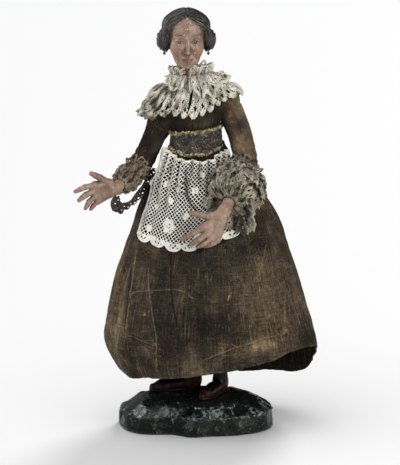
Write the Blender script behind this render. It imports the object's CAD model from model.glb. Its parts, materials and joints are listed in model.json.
"""A dressed and painted wooden figurine: carved head, hands and shoes, a worn brown cloth gown,
lace collar, cuffs and net apron, a metal-thread belt and a carved rocky base.
Everything is worked out in millimetres in the frame of the CAD model and stored in metres."""

import json
import math

import bpy
import numpy as np
import openvdb
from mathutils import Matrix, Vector

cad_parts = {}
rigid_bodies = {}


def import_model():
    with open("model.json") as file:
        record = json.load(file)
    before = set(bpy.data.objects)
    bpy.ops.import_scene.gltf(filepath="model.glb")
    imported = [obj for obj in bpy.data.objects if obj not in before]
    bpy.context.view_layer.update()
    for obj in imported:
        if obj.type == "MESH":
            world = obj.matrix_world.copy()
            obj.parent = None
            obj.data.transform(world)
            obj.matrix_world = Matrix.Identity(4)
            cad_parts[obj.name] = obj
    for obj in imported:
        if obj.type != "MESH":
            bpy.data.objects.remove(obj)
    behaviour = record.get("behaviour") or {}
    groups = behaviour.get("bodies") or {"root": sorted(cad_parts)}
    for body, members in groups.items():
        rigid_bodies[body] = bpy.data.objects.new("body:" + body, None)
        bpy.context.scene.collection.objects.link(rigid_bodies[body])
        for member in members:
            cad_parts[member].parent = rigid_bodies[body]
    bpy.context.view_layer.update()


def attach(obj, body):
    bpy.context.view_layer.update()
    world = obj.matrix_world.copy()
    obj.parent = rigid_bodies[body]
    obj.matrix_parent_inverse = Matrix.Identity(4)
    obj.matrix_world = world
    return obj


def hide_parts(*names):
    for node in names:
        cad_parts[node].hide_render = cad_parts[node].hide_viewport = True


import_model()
MM = 0.001
PI = math.pi

# ------------------------------------------------------------------ numbers shared with the CAD model
HEAD = dict(x=-8.6, y=-4.0, chin=300.0, top=349.0)
NECK_R = 9.2
FLOOR_TOP = 25.0
BASE_RADII = [63, 60, 54, 47, 44, 46, 54, 63.5, 63.5, 60, 44.5, 47.5, 46, 53, 60.5]
SKIRT = dict(
    right=[[30, 102], [64, 98.8], [94, 92], [129, 82], [155, 73], [171, 68], [190, 58], [203, 43.5], [217, 29.5], [232, 24.6], [240, 23.8]],
    left=[[30, 55], [42, 58], [50, 65], [63, 72.4], [75, 76.4], [88, 75], [105, 72], [122, 68.5], [136, 64.5], [152, 58.5], [169, 52.5], [183, 48], [204, 37], [217, 27.5], [232, 23.4], [240, 22.8]],
    front=[[30, 59], [55, 60], [78, 60], [94, 58], [114, 55], [143, 48.5], [171, 40], [200, 27.5], [215, 20.8], [232, 17.4], [240, 17.2]],
    back=[[30, 77], [60, 75], [94, 70], [114, 66], [143, 60], [171, 53], [200, 42], [215, 30], [232, 18.8], [240, 18.4]],
)
HEM = [64, 36.5, 29, 29.5, 34, 40, 44, 46, 51, 54.5, 62, 70.5]
BODY = [
    [207, -0.4, 1, 20, 13.5], [228, -0.4, 0, 20.2, 14.2], [238, -0.6, 0, 19.2, 14.2], [250, -0.9, -0.5, 18.7, 15.2],
    [262, -2, -1.5, 23, 17], [272, -3.3, -1, 25.6, 15.5], [280, -3.8, 0, 21.8, 12.5], [285, -5.6, 0, 14.4, 11], [288, -7.2, 0, 11, 10],
]
ARMS = dict(
    right=dict(shoulder=[-27, 1, 271], mid=[-34.2, 3, 244], elbow=[-46.5, 6, 216], wrist=[-66, -28, 204.6], sleeve=[11.5, 9.2, 9, 8.2]),
    left=dict(shoulder=[24, 0, 271], mid=[34.6, -2, 245], elbow=[40.5, -12, 219.5], wrist=[22.5, -52, 191], sleeve=[11.5, 10, 9.6, 8.4]),
)
SLEEVE_PAST_ELBOW = 7.0


# ------------------------------------------------------------------ small mathematics
def smooth(a, b, x):
    t = np.clip((np.asarray(x, float) - a) / (b - a), 0, 1)
    return t * t * (3 - 2 * t)


def mixv(a, b, t):
    return a + (b - a) * t


def bump1(x, centre, width):
    return np.exp(-(((x - centre) / width) ** 2))


def through(rows, x, k=1):
    rows = np.asarray(rows, float)
    xs, ys, n = rows[:, 0], rows[:, k], len(rows)
    slope = np.array([(ys[min(n - 1, j + 1)] - ys[max(0, j - 1)]) / (xs[min(n - 1, j + 1)] - xs[max(0, j - 1)]) for j in range(n)])
    x = np.clip(np.asarray(x, float), xs[0], xs[-1])
    i = np.clip(np.searchsorted(xs, x, side="right") - 1, 0, n - 2)
    h = xs[i + 1] - xs[i]
    t = (x - xs[i]) / h
    return (2 * t**3 - 3 * t * t + 1) * ys[i] + (t**3 - 2 * t * t + t) * h * slope[i] + (3 * t * t - 2 * t**3) * ys[i + 1] + (t**3 - t * t) * h * slope[i + 1]


def around(values, theta):
    v = np.asarray(values, float)
    n = len(v)
    x = (np.asarray(theta, float) / (2 * PI)) % 1.0 * n
    i = np.floor(x).astype(int)
    t = x - i
    g = lambda j: v[(i + j) % n]
    m0, m1 = (g(1) - g(-1)) / 2, (g(2) - g(0)) / 2
    return (2 * t**3 - 3 * t * t + 1) * g(0) + (t**3 - 2 * t * t + t) * m0 + (3 * t * t - 2 * t**3) * g(1) + (t**3 - t * t) * m1


def _hash(ix, iy, iz, seed):
    h = ix.astype(np.int64) * 374761393 + iy.astype(np.int64) * 668265263 + iz.astype(np.int64) * 1442695041 + seed * 1274126177
    h &= 0xFFFFFFFF
    h = ((h ^ (h >> 13)) * 1274126177) & 0xFFFFFFFF
    h = ((h ^ (h >> 15)) * 2246822519) & 0xFFFFFFFF
    return ((h ^ (h >> 16)) & 0xFFFFFF) / float(0xFFFFFF) * 2 - 1


def noise3(x, y=0.0, z=0.0, seed=0):
    """smooth value noise, about -1 to 1"""
    x, y, z = np.broadcast_arrays(np.asarray(x, float), np.asarray(y, float), np.asarray(z, float))
    fx, fy, fz = np.floor(x), np.floor(y), np.floor(z)
    tx, ty, tz = x - fx, y - fy, z - fz
    ix, iy, iz = fx.astype(np.int64), fy.astype(np.int64), fz.astype(np.int64)
    tx, ty, tz = (t * t * t * (t * (t * 6 - 15) + 10) for t in (tx, ty, tz))
    out = 0
    for dx in (0, 1):
        for dy in (0, 1):
            for dz in (0, 1):
                w = (tx if dx else 1 - tx) * (ty if dy else 1 - ty) * (tz if dz else 1 - tz)
                out = out + w * _hash(ix + dx, iy + dy, iz + dz, seed)
    return out


def fbm(x, y=0.0, z=0.0, seed=0, octaves=4, gain=0.5):
    total, amp, norm, f = 0, 1.0, 0, 1.0
    for o in range(octaves):
        total = total + amp * noise3(x * f, y * f, z * f, seed + 17 * o)
        norm += amp
        amp *= gain
        f *= 2.03
    return total / norm


def unit(v):
    return v / np.maximum(np.linalg.norm(v, axis=-1, keepdims=True), 1e-9)


def spline(points, n):
    """n points evenly spread along a centripetal curve through the given ones"""
    p = np.asarray(points, float)
    ext = np.vstack([2 * p[0] - p[1], p, 2 * p[-1] - p[-2]])
    out = []
    for i in range(1, len(ext) - 2):
        a, b, c, d = ext[i - 1], ext[i], ext[i + 1], ext[i + 2]
        t = np.linspace(0, 1, 24, endpoint=False)[:, None]
        out.append(0.5 * ((2 * b) + (-a + c) * t + (2 * a - 5 * b + 4 * c - d) * t**2 + (-a + 3 * b - 3 * c + d) * t**3))
    out = np.vstack(out + [p[-1][None]])
    s = np.concatenate([[0], np.cumsum(np.linalg.norm(np.diff(out, axis=0), axis=1))])
    want = np.linspace(0, s[-1], n)
    return np.stack([np.interp(want, s, out[:, k]) for k in range(out.shape[1])], 1)


# ------------------------------------------------------------------ meshes
def make_mesh(name, co, faces, material, attrs=None, replaces=(), smooth_shade=True):
    """co in millimetres; faces a list of (n,3) or (n,4) index arrays"""
    me = bpy.data.meshes.new(name)
    co = np.asarray(co, float) * MM
    faces = [np.asarray(f, np.int32) for f in faces if len(f)]
    loops = np.concatenate([f.ravel() for f in faces])
    totals = np.concatenate([np.full(len(f), f.shape[1], np.int32) for f in faces])
    starts = np.concatenate([[0], np.cumsum(totals)[:-1]]).astype(np.int32)
    me.vertices.add(len(co))
    me.loops.add(len(loops))
    me.polygons.add(len(totals))
    me.vertices.foreach_set("co", co.astype(np.float32).ravel())
    me.loops.foreach_set("vertex_index", loops)
    me.polygons.foreach_set("loop_start", starts)
    me.polygons.foreach_set("loop_total", totals)
    me.update(calc_edges=True)
    me.validate(verbose=False)
    me.polygons.foreach_set("use_smooth", np.full(len(me.polygons), smooth_shade))
    for key, val in (attrs or {}).items():
        val = np.asarray(val, float)
        if val.ndim == 1:
            a = me.attributes.new(key, "FLOAT", "POINT")
            a.data.foreach_set("value", val.astype(np.float32))
        else:
            a = me.attributes.new(key, "FLOAT_VECTOR", "POINT")
            a.data.foreach_set("vector", val.astype(np.float32).ravel())
    o = bpy.data.objects.new(name, me)
    bpy.context.scene.collection.objects.link(o)
    me.materials.append(material)
    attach(o, "root")
    if replaces:
        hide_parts(*replaces)
    return o


def grid_faces(nu, nv, wrap_u=False, wrap_v=False, offset=0, flip=False):
    """quads of an (nu, nv) grid of vertices stored row by row"""
    iu = np.arange(nu if wrap_u else nu - 1)
    iv = np.arange(nv if wrap_v else nv - 1)
    a, b = np.meshgrid(iu, iv, indexing="ij")
    a2, b2 = (a + 1) % nu, (b + 1) % nv
    q = np.stack([a * nv + b, a2 * nv + b, a2 * nv + b2, a * nv + b2], -1).reshape(-1, 4) + offset
    return q[:, ::-1] if flip else q


def sdf_mesh(func, lo, hi, voxel, project=1):
    """quads of the surface where func is zero, with its points moved back on to it"""
    lo = np.asarray(lo, float)
    axes = [np.arange(lo[k], hi[k] + voxel, voxel) for k in range(3)]
    X, Y, Z = np.meshgrid(*axes, indexing="ij")
    D = func(np.stack([X, Y, Z], -1).reshape(-1, 3)).reshape(X.shape)
    band = 3 * voxel
    g = openvdb.FloatGrid(background=band)
    g.copyFromArray(np.clip(D, -band, band).astype(np.float32))
    p, q = g.convertToQuads(isovalue=0.0)
    p = lo + np.asarray(p, float) * voxel
    q = np.asarray(q, np.int32)
    for _ in range(project):
        d, n = sdf_normal(func, p, voxel * 0.5)
        p = p - n * np.clip(d, -voxel * 0.6, voxel * 0.6)[:, None]
    return p, q


def sdf_normal(func, p, e):
    d = func(p)
    g = np.stack([func(p + np.eye(3)[k] * e) - func(p - np.eye(3)[k] * e) for k in range(3)], -1)
    length = np.linalg.norm(g, axis=1, keepdims=True)
    return d / np.maximum(length[:, 0] / (2 * e), 0.3), g / np.maximum(length, 1e-9)


def keep_largest(p, q):
    """only the biggest connected part of a mesh"""
    n = len(p)
    lab = np.arange(n)
    e = np.concatenate([q[:, [i, (i + 1) % q.shape[1]]] for i in range(q.shape[1])])
    while True:
        m = np.minimum(lab[e[:, 0]], lab[e[:, 1]])
        new = lab.copy()
        np.minimum.at(new, e[:, 0], m)
        np.minimum.at(new, e[:, 1], m)
        new = new[new]
        if (new == lab).all():
            break
        lab = new
    ids, counts = np.unique(lab[q[:, 0]], return_counts=True)
    keep = lab == ids[counts.argmax()]
    idx = np.cumsum(keep) - 1
    return p[keep], idx[q[keep[q[:, 0]]]], keep


def smin(a, b, k):
    h = np.clip(0.5 + 0.5 * (b - a) / k, 0, 1)
    return b + (a - b) * h - k * h * (1 - h)


def smax(a, b, k):
    return -smin(-a, -b, k)


def vertex_normals(p, faces):
    n = np.zeros_like(p)
    for f in faces:
        a, b, c = p[f[:, 0]], p[f[:, 1]], p[f[:, 2]]
        fn = np.cross(b - a, c - a)
        if f.shape[1] == 4:
            fn = np.cross(p[f[:, 2]] - a, p[f[:, 3]] - b)
        for k in range(f.shape[1]):
            for d in range(3):
                n[:, d] += np.bincount(f[:, k], weights=fn[:, d], minlength=len(p))
    return unit(n)


# signed distances; p is (n, 3) in millimetres
def d_ball(p, c, r):
    return np.linalg.norm(p - np.asarray(c, float), axis=1) - r


def d_ellipsoid(p, c, r, turn=None):
    q = p - np.asarray(c, float)
    if turn is not None:
        q = q @ turn
    r = np.asarray(r, float)
    k0 = np.linalg.norm(q / r, axis=1)
    k1 = np.linalg.norm(q / (r * r), axis=1)
    return k0 * (k0 - 1) / np.maximum(k1, 1e-6)


def d_cone(p, a, b, ra, rb):
    """capsule whose radius runs from ra to rb"""
    a, b = np.asarray(a, float), np.asarray(b, float)
    ab = b - a
    t = np.clip(((p - a) @ ab) / (ab @ ab), 0, 1)
    return np.linalg.norm(p - a - t[:, None] * ab, axis=1) - (ra + (rb - ra) * t)


def turn_matrix(yaw=0, pitch=0, roll=0):
    cy, sy, cp, sp, cr, sr = (f(math.radians(v)) for v in (yaw, pitch, roll) for f in (math.cos, math.sin))
    z = np.array([[cy, -sy, 0], [sy, cy, 0], [0, 0, 1]])
    x = np.array([[1, 0, 0], [0, cp, -sp], [0, sp, cp]])
    y = np.array([[cr, 0, sr], [0, 1, 0], [-sr, 0, cr]])
    return z @ x @ y


# ------------------------------------------------------------------ materials
def rgb(r, g, b):
    """0 to 255 display values to linear"""
    f = lambda c: (c / 255) / 12.92 if c / 255 <= 0.04045 else ((c / 255 + 0.055) / 1.055) ** 2.4
    return (f(r), f(g), f(b), 1.0)


class Mat:
    """a node material, built from short calls"""

    def __init__(self, name, roughness=0.8, metallic=0.0, specular=0.4, **more):
        self.mat = bpy.data.materials.new(name)
        self.mat.use_nodes = True
        self.nt = self.mat.node_tree
        self.nt.nodes.clear()
        out = self.nt.nodes.new("ShaderNodeOutputMaterial")
        self.b = self.nt.nodes.new("ShaderNodeBsdfPrincipled")
        self.nt.links.new(self.b.outputs[0], out.inputs[0])
        self.b.inputs["Roughness"].default_value = roughness
        self.b.inputs["Metallic"].default_value = metallic
        self.b.inputs["Specular IOR Level"].default_value = specular
        for k, v in more.items():
            self.b.inputs[k.replace("_", " ")].default_value = v

    def put(self, socket, value):
        if isinstance(value, bpy.types.NodeSocket):
            self.nt.links.new(value, socket)
        else:
            socket.default_value = value

    def node(self, kind, values=None, **props):
        n = self.nt.nodes.new(kind)
        for k, v in props.items():
            setattr(n, k, v)
        for k, v in (values or {}).items():
            self.put(n.inputs[k], v)
        return n

    def color(self, value):
        self.put(self.b.inputs["Base Color"], value)
        return self

    def rough(self, value):
        self.put(self.b.inputs["Roughness"], value)
        return self

    def metal(self, value):
        self.put(self.b.inputs["Metallic"], value)
        return self

    def attr(self, name, out="Fac"):
        return self.node("ShaderNodeAttribute", attribute_name=name).outputs[out]

    def place(self):
        return self.node("ShaderNodeTexCoord").outputs["Object"]

    def scaled(self, vec, scale, loc=(0, 0, 0), rot=(0, 0, 0)):
        return self.node("ShaderNodeMapping", {"Vector": vec, "Scale": scale, "Location": loc, "Rotation": rot}).outputs[0]

    def noise(self, vec, scale, detail=3.0, rough=0.55, distort=0.0):
        return self.node("ShaderNodeTexNoise", {"Vector": vec, "Scale": scale, "Detail": detail, "Roughness": rough, "Distortion": distort}).outputs[0]

    def cells(self, vec, scale, feature="F1", out="Distance", randomness=1.0):
        return self.node("ShaderNodeTexVoronoi", {"Vector": vec, "Scale": scale, "Randomness": randomness}, feature=feature).outputs[out]

    def wave(self, vec, scale, distort=0.0, detail=1.0, direction="X", detail_scale=1.0):
        return self.node("ShaderNodeTexWave", {"Vector": vec, "Scale": scale, "Distortion": distort, "Detail": detail, "Detail Scale": detail_scale}, bands_direction=direction).outputs[1]

    def ramp(self, fac, stops, mode="LINEAR"):
        n = self.node("ShaderNodeValToRGB", {"Fac": fac})
        n.color_ramp.interpolation = mode
        e = n.color_ramp.elements
        while len(e) < len(stops):
            e.new(0.5)
        for el, (pos, col) in zip(e, stops):
            el.position = pos
            el.color = col if len(np.shape(col)) else (col, col, col, 1)
        return n.outputs[0]

    def step(self, fac, lo, hi):
        """0 below lo, 1 above hi"""
        n = self.node("ShaderNodeMapRange", {"Value": fac, "From Min": lo, "From Max": hi, "To Min": 0.0, "To Max": 1.0}, interpolation_type="SMOOTHSTEP")
        return n.outputs[0]

    def mix(self, fac, a, b, mode="MIX"):
        n = self.node("ShaderNodeMix", data_type="RGBA", blend_type=mode)
        self.put(n.inputs[0], fac)
        self.put(n.inputs[6], a)
        self.put(n.inputs[7], b)
        return n.outputs[2]

    def math(self, op, a, b=0.0, c=0.0, clamp=False):
        n = self.node("ShaderNodeMath", operation=op, use_clamp=clamp)
        self.put(n.inputs[0], a)
        self.put(n.inputs[1], b)
        self.put(n.inputs[2], c)
        return n.outputs[0]

    def bump(self, height, strength=0.5, distance=0.0003, under=None):
        n = self.node("ShaderNodeBump", {"Height": height, "Strength": strength, "Distance": distance})
        if under is not None:
            self.put(n.inputs["Normal"], under)
        return n.outputs[0]

    def normal(self, value):
        self.put(self.b.inputs["Normal"], value)
        return self


def gown_material(name="gown_cloth", thready=1.0):
    m = Mat(name, roughness=0.95, specular=0.14, Sheen_Weight=0.05, Sheen_Roughness=0.5)
    m.b.inputs["Sheen Tint"].default_value = rgb(150, 130, 104)
    cloth = m.attr("cloth", "Vector")
    place = m.place()
    # one value for how worn and pale the cloth is: broad areas from the mesh, then blotches,
    # crumples, grit and the crossing threads, each finer than the last
    value = m.attr("tone")
    warp = m.noise(m.scaled(cloth, (1150, 42, 1)), 1.0, 2.0, 0.5)
    weft = m.noise(m.scaled(cloth, (48, 1050, 1)), 1.0, 2.0, 0.5)
    grit = m.noise(m.scaled(cloth, (1250, 1050, 1)), 1.0, 2.0, 0.6)
    small = m.noise(m.scaled(cloth, (430, 340, 1)), 1.0, 3.0, 0.65)
    for noise, share in (
        (m.noise(place, 28.0, 3.0, 0.55), 0.5),
        (m.noise(place, 105.0, 3.0, 0.6), 0.66),
        (small, 0.3 + 0.2 * thready),
        (grit, 0.12 + 0.42 * thready),
        (warp, 0.62 * thready),
        (weft, 0.36 * thready),
    ):
        value = m.math("ADD", value, m.math("MULTIPLY", m.math("SUBTRACT", noise, 0.5), share))
    col = m.ramp(value, [(0.0, rgb(17, 13, 11)), (0.3, rgb(36, 30, 25)), (0.5, rgb(57, 49, 39)), (0.7, rgb(87, 74, 57)), (0.88, rgb(120, 103, 80)), (1.0, rgb(150, 131, 104))])
    # worn warp threads, pale and thin
    scratch = m.math("MULTIPLY", m.step(m.noise(m.scaled(cloth, (820, 26, 1), (5, 1, 0)), 1.0, 2.0, 0.5), 0.585, 0.66), m.step(m.noise(place, 62.0, 2.0), 0.47, 0.6))
    cross = m.math("MULTIPLY", m.step(m.noise(m.scaled(cloth, (34, 760, 1), (2, 8, 0)), 1.0, 2.0, 0.5), 0.6, 0.68), m.step(m.noise(place, 75.0, 2.0), 0.5, 0.62))
    col = m.mix(m.math("MULTIPLY", scratch, 0.3 * thready), col, rgb(130, 111, 86))
    col = m.mix(m.math("MULTIPLY", cross, 0.22 * thready), col, rgb(118, 101, 79))
    # rubbed places show orange-brown in specks
    specks = m.math("MULTIPLY", m.attr("wear"), m.step(m.math("ADD", m.math("MULTIPLY", small, 0.6), m.math("MULTIPLY", grit, 0.4)), 0.47, 0.58), clamp=True)
    col = m.mix(m.math("MULTIPLY", specks, 0.72), col, rgb(150, 108, 68))
    # pale creases: how far a point is from the nearest one, and how strong that one is
    broken = m.step(m.noise(place, 380.0, 2.0, 0.6), 0.36, 0.56)
    near = m.step(m.math("ABSOLUTE", m.attr("line")), 0.8, 0.1)
    col = m.mix(m.math("MULTIPLY", m.math("MULTIPLY", near, m.attr("pale")), m.math("ADD", m.math("MULTIPLY", broken, 0.65), 0.15), clamp=True), col, rgb(136, 118, 92))
    dark = m.step(m.math("ABSOLUTE", m.attr("seam")), 1.15, 0.35)
    col = m.mix(m.math("MULTIPLY", dark, m.attr("deep"), clamp=True), col, rgb(16, 12, 10))
    # crinkles: thin dark lines that wander and break off, with a paler lip
    wander = m.math("ABSOLUTE", m.math("SUBTRACT", m.noise(place, 44.0, 3.0, 0.6, 0.6), 0.5))
    wander2 = m.math("ABSOLUTE", m.math("SUBTRACT", m.noise(m.scaled(place, (1, 1, 0.6), (0.3, 0.1, 0.2)), 96.0, 2.0, 0.55, 0.5), 0.5))
    here = m.step(m.noise(place, 36.0, 2.0, 0.5), 0.42, 0.6)
    crinkle = m.math("MAXIMUM", m.step(wander, 0.014, 0.004), m.math("MULTIPLY", m.step(wander2, 0.016, 0.005), 0.8))
    crinkle = m.math("MULTIPLY", m.math("MULTIPLY", crinkle, here), m.step(small, 0.3, 0.5))
    lip = m.math("MULTIPLY", m.math("MULTIPLY", m.step(wander, 0.03, 0.018), m.step(wander, 0.012, 0.018)), here)
    col = m.mix(m.math("MULTIPLY", lip, 0.22), col, rgb(130, 112, 88))
    col = m.mix(m.math("MULTIPLY", crinkle, 0.6), col, rgb(18, 14, 12))
    # small flecks of lost nap
    flecks = m.math("MULTIPLY", m.step(m.noise(m.scaled(cloth, (900, 800, 1), (4, 4, 0)), 1.0, 1.0, 0.5), 0.69, 0.75), 0.15 + 0.3 * thready)
    col = m.mix(flecks, col, rgb(150, 132, 108))
    m.color(col)
    # crumples, slubs and weave in the relief
    waves = m.math("ADD", m.math("MULTIPLY", m.wave(cloth, 330.0, 1.6, 2.0, "X", 3.0), 0.4), m.math("MULTIPLY", m.wave(cloth, 290.0, 1.6, 2.0, "Y", 3.0), 0.4))
    fine = m.math("ADD", waves, m.math("ADD", m.math("MULTIPLY", warp, 0.2 + thready), m.math("MULTIPLY", grit, 0.9 + 0.5 * thready)))
    n1 = m.bump(fine, 0.6, 0.0003)
    n2 = m.bump(m.math("SUBTRACT", m.noise(place, 150.0, 4.0, 0.65), m.math("MULTIPLY", crinkle, 0.25)), 0.6, 0.0014, n1)
    m.normal(n2)
    m.rough(m.ramp(small, [(0.3, 0.98), (0.7, 0.86)]))
    return m.mat


GOWN = gown_material()
VELVET = gown_material("worn_velvet", 0.22)


# ------------------------------------------------------------------ the skirt
def fold_depth(theta, z):
    theta = np.where(theta > PI, theta - 2 * PI, theta)
    share = 0.3 + 0.7 * smooth(-0.35, 0.55, np.sin(theta))
    low = smooth(225, 110, z)
    broad = 2.6 * np.cos(7 * theta + 0.6) + 1.7 * np.cos(11 * theta + 2.1 + z * 0.006)
    recess = -6.5 * bump1(theta, -2.83, 0.13) * smooth(205, 150, z) * smooth(38, 80, z)
    ridge = 2.2 * bump1(theta, -2.5, 0.1) * smooth(215, 150, z)
    pressed = -6.5 * bump1(theta, -0.62, 0.5) * smooth(174, 194, z) * smooth(230, 214, z)
    return broad * share * low + recess + ridge + pressed


def skirt_at(theta, z, offset=0.0):
    c, s = np.cos(theta), np.sin(theta)
    a = np.where(c > 0, through(SKIRT["right"], z), through(SKIRT["left"], z))
    b = np.where(s > 0, through(SKIRT["back"], z), through(SKIRT["front"], z))
    d = fold_depth(theta, z) + offset
    nx, ny = c / a, s / b
    ln = np.hypot(nx, ny)
    return np.stack([a * c + nx / ln * d, b * s + ny / ln * d, z + 0 * d], -1)


belt_bottom = lambda th: 228 + 1.2 * np.cos(th) + 5 * np.cos(th) ** 2
belt_top = lambda th: 250 + 2.9 * np.cos(th)
hem_at = lambda th: around(HEM, th)


def to_photo(p):
    """where a point shows in the 400 by 465 frame, near enough"""
    return 197 + p[..., 0] / 0.821, 425 - (p[..., 2] * 0.978 + p[..., 1] * 0.208) / 0.821


def line_mask(u, v, pts, width):
    """closeness, 1 to 0, to a broken line in the picture plane"""
    d = np.full(u.shape, 1e9)
    for (x0, y0), (x1, y1) in zip(pts[:-1], pts[1:]):
        dx, dy = x1 - x0, y1 - y0
        t = np.clip(((u - x0) * dx + (v - y0) * dy) / (dx * dx + dy * dy), 0, 1)
        d = np.minimum(d, np.hypot(u - x0 - t * dx, v - y0 - t * dy))
    return np.exp(-((d / width) ** 2))


def line_distance(u, v, lines):
    """signed distance to the nearest of some broken lines in the picture plane, and its strength"""
    best, strength = np.full(u.shape, 9.0), np.zeros(u.shape)
    for pts, power in lines:
        n = len(pts) - 1
        for i, ((x0, y0), (x1, y1)) in enumerate(zip(pts[:-1], pts[1:])):
            dx, dy = x1 - x0, y1 - y0
            length = math.hypot(dx, dy)
            t = np.clip(((u - x0) * dx + (v - y0) * dy) / length**2, 0, 1)
            d = np.hypot(u - x0 - t * dx, v - y0 - t * dy)
            side = np.where((u - x0) * dy - (v - y0) * dx > 0, 1.0, -1.0)
            closer = d < np.abs(best)
            best = np.where(closer, d * side, best)
            strength = np.where(closer, power * smooth(0, 0.12, (i + t) / n) * smooth(1, 0.88, (i + t) / n), strength)
    return best, strength


CREASES = [
    ([(148.5, 262), (149.5, 290), (153, 314), (157, 336), (157.2, 376)], 0.8),
    ([(139.7, 246.5), (135.7, 263.5), (132.3, 291), (129.2, 314), (127, 334), (125.4, 345)], 0.75),
    ([(106, 313), (111.5, 336), (116, 346.5), (123, 359), (131, 368)], 0.4),
    ([(129, 293.5), (138, 291), (149, 290.4), (168, 289), (174, 289), (181.5, 290), (188, 293), (192, 297), (200, 299.6)], 0.55),
    ([(127, 334), (138.5, 339), (151, 343), (157, 345)], 0.6),
    ([(200, 360.5), (216, 354), (232, 347.6), (248, 342.7), (264.5, 337), (277, 334.7)], 0.6),
    ([(285, 286), (284, 312), (283, 338)], 0.6),
    ([(266, 240), (262, 262), (258, 280)], 0.3),
    ([(221, 338), (223, 348), (222, 358)], 0.4),
    ([(271, 262), (273, 290), (276, 318)], 0.3),
    ([(292, 300), (299, 322), (304, 336)], 0.3),
]
SEAMS = [
    ([(170.5, 246), (170.8, 263.5), (171.5, 291), (173, 306.5), (176, 319), (178.5, 331)], 0.95),
    ([(178.5, 331), (180, 353), (180, 377)], 0.45),
    ([(136.5, 249), (132.5, 265), (129.5, 291), (126.6, 314), (124.5, 334)], 0.8),
    ([(127, 335.6), (138.5, 340.8), (151, 344.8), (157, 346.6)], 0.35),
    ([(200, 362.2), (216, 355.8), (232, 349.4), (248, 344.4), (264.5, 338.8), (277, 336.4)], 0.3),
]
# broad pale and dark areas: where, how wide and high, how much
AREAS = [
    (118, 290, 10, 60, 0.16), (112, 330, 9, 22, 0.1), (147, 349, 13, 7, 0.22), (140, 300, 8, 30, 0.06),
    (196, 330, 34, 18, -0.17), (220, 327, 20, 12, -0.13), (163, 320, 12, 40, -0.17), (260, 242, 9, 9, -0.26),
    (242, 250, 16, 9, -0.2), (196, 264, 36, 16, -0.17), (206, 296, 20, 26, -0.08), (133, 300, 4, 40, -0.1), (266, 300, 20, 38, 0.2), (262, 266, 12, 14, 0.1),
    (264, 344, 24, 7, 0.24), (240, 352, 28, 7, 0.14), (308, 336, 8, 9, -0.26), (296, 322, 8, 18, 0.02),
    (228, 292, 22, 24, 0.0), (176, 356, 20, 8, -0.02), (222, 346, 5, 8, 0.16), (296, 300, 8, 24, 0.1),
    (155, 275, 16, 20, -0.04), (131, 268, 4, 24, -0.06), (230, 368, 40, 6, -0.06),
]
RUBS = [(259, 266, 5, 13, 0.9), (268, 290, 5, 6, 1.0), (282, 333, 9, 6, 1.0), (222, 346, 3, 9, 0.7), (264, 322, 16, 16, 0.3), (250, 345, 20, 5, 0.35), (284, 300, 3, 30, 0.6)]


def cloth_relief(theta, z, hem, arc):
    """fine folds and crumples of the worn cloth"""
    g = noise3(theta * 13.0, 3.3, z / 210, seed=3) + 0.6 * noise3(theta * 27.0, 1.1, z / 150, seed=4)
    gathers = 1.25 * np.abs(g) ** 0.8 * np.sign(g) * smooth(168, 214, z)
    front = smooth(0.35, -0.3, np.sin(theta))
    soft = 0.85 * noise3(theta * 8.0, z / 85.0, seed=5) + 0.5 * noise3(theta * 17.0, z / 60.0, 4.0, seed=6)
    crumple = 0.42 * fbm(arc / 17.0, z / 13.0, seed=8, octaves=3) + 0.16 * fbm(arc / 5.0, z / 4.5, 2.0, seed=9, octaves=2)
    edge = 0.6 * noise3(theta * 15.0, 9.0, seed=10) * smooth(26, 0, z - hem)
    return gathers + soft * (0.65 + 0.35 * (1 - front)) + crumple + edge


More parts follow.
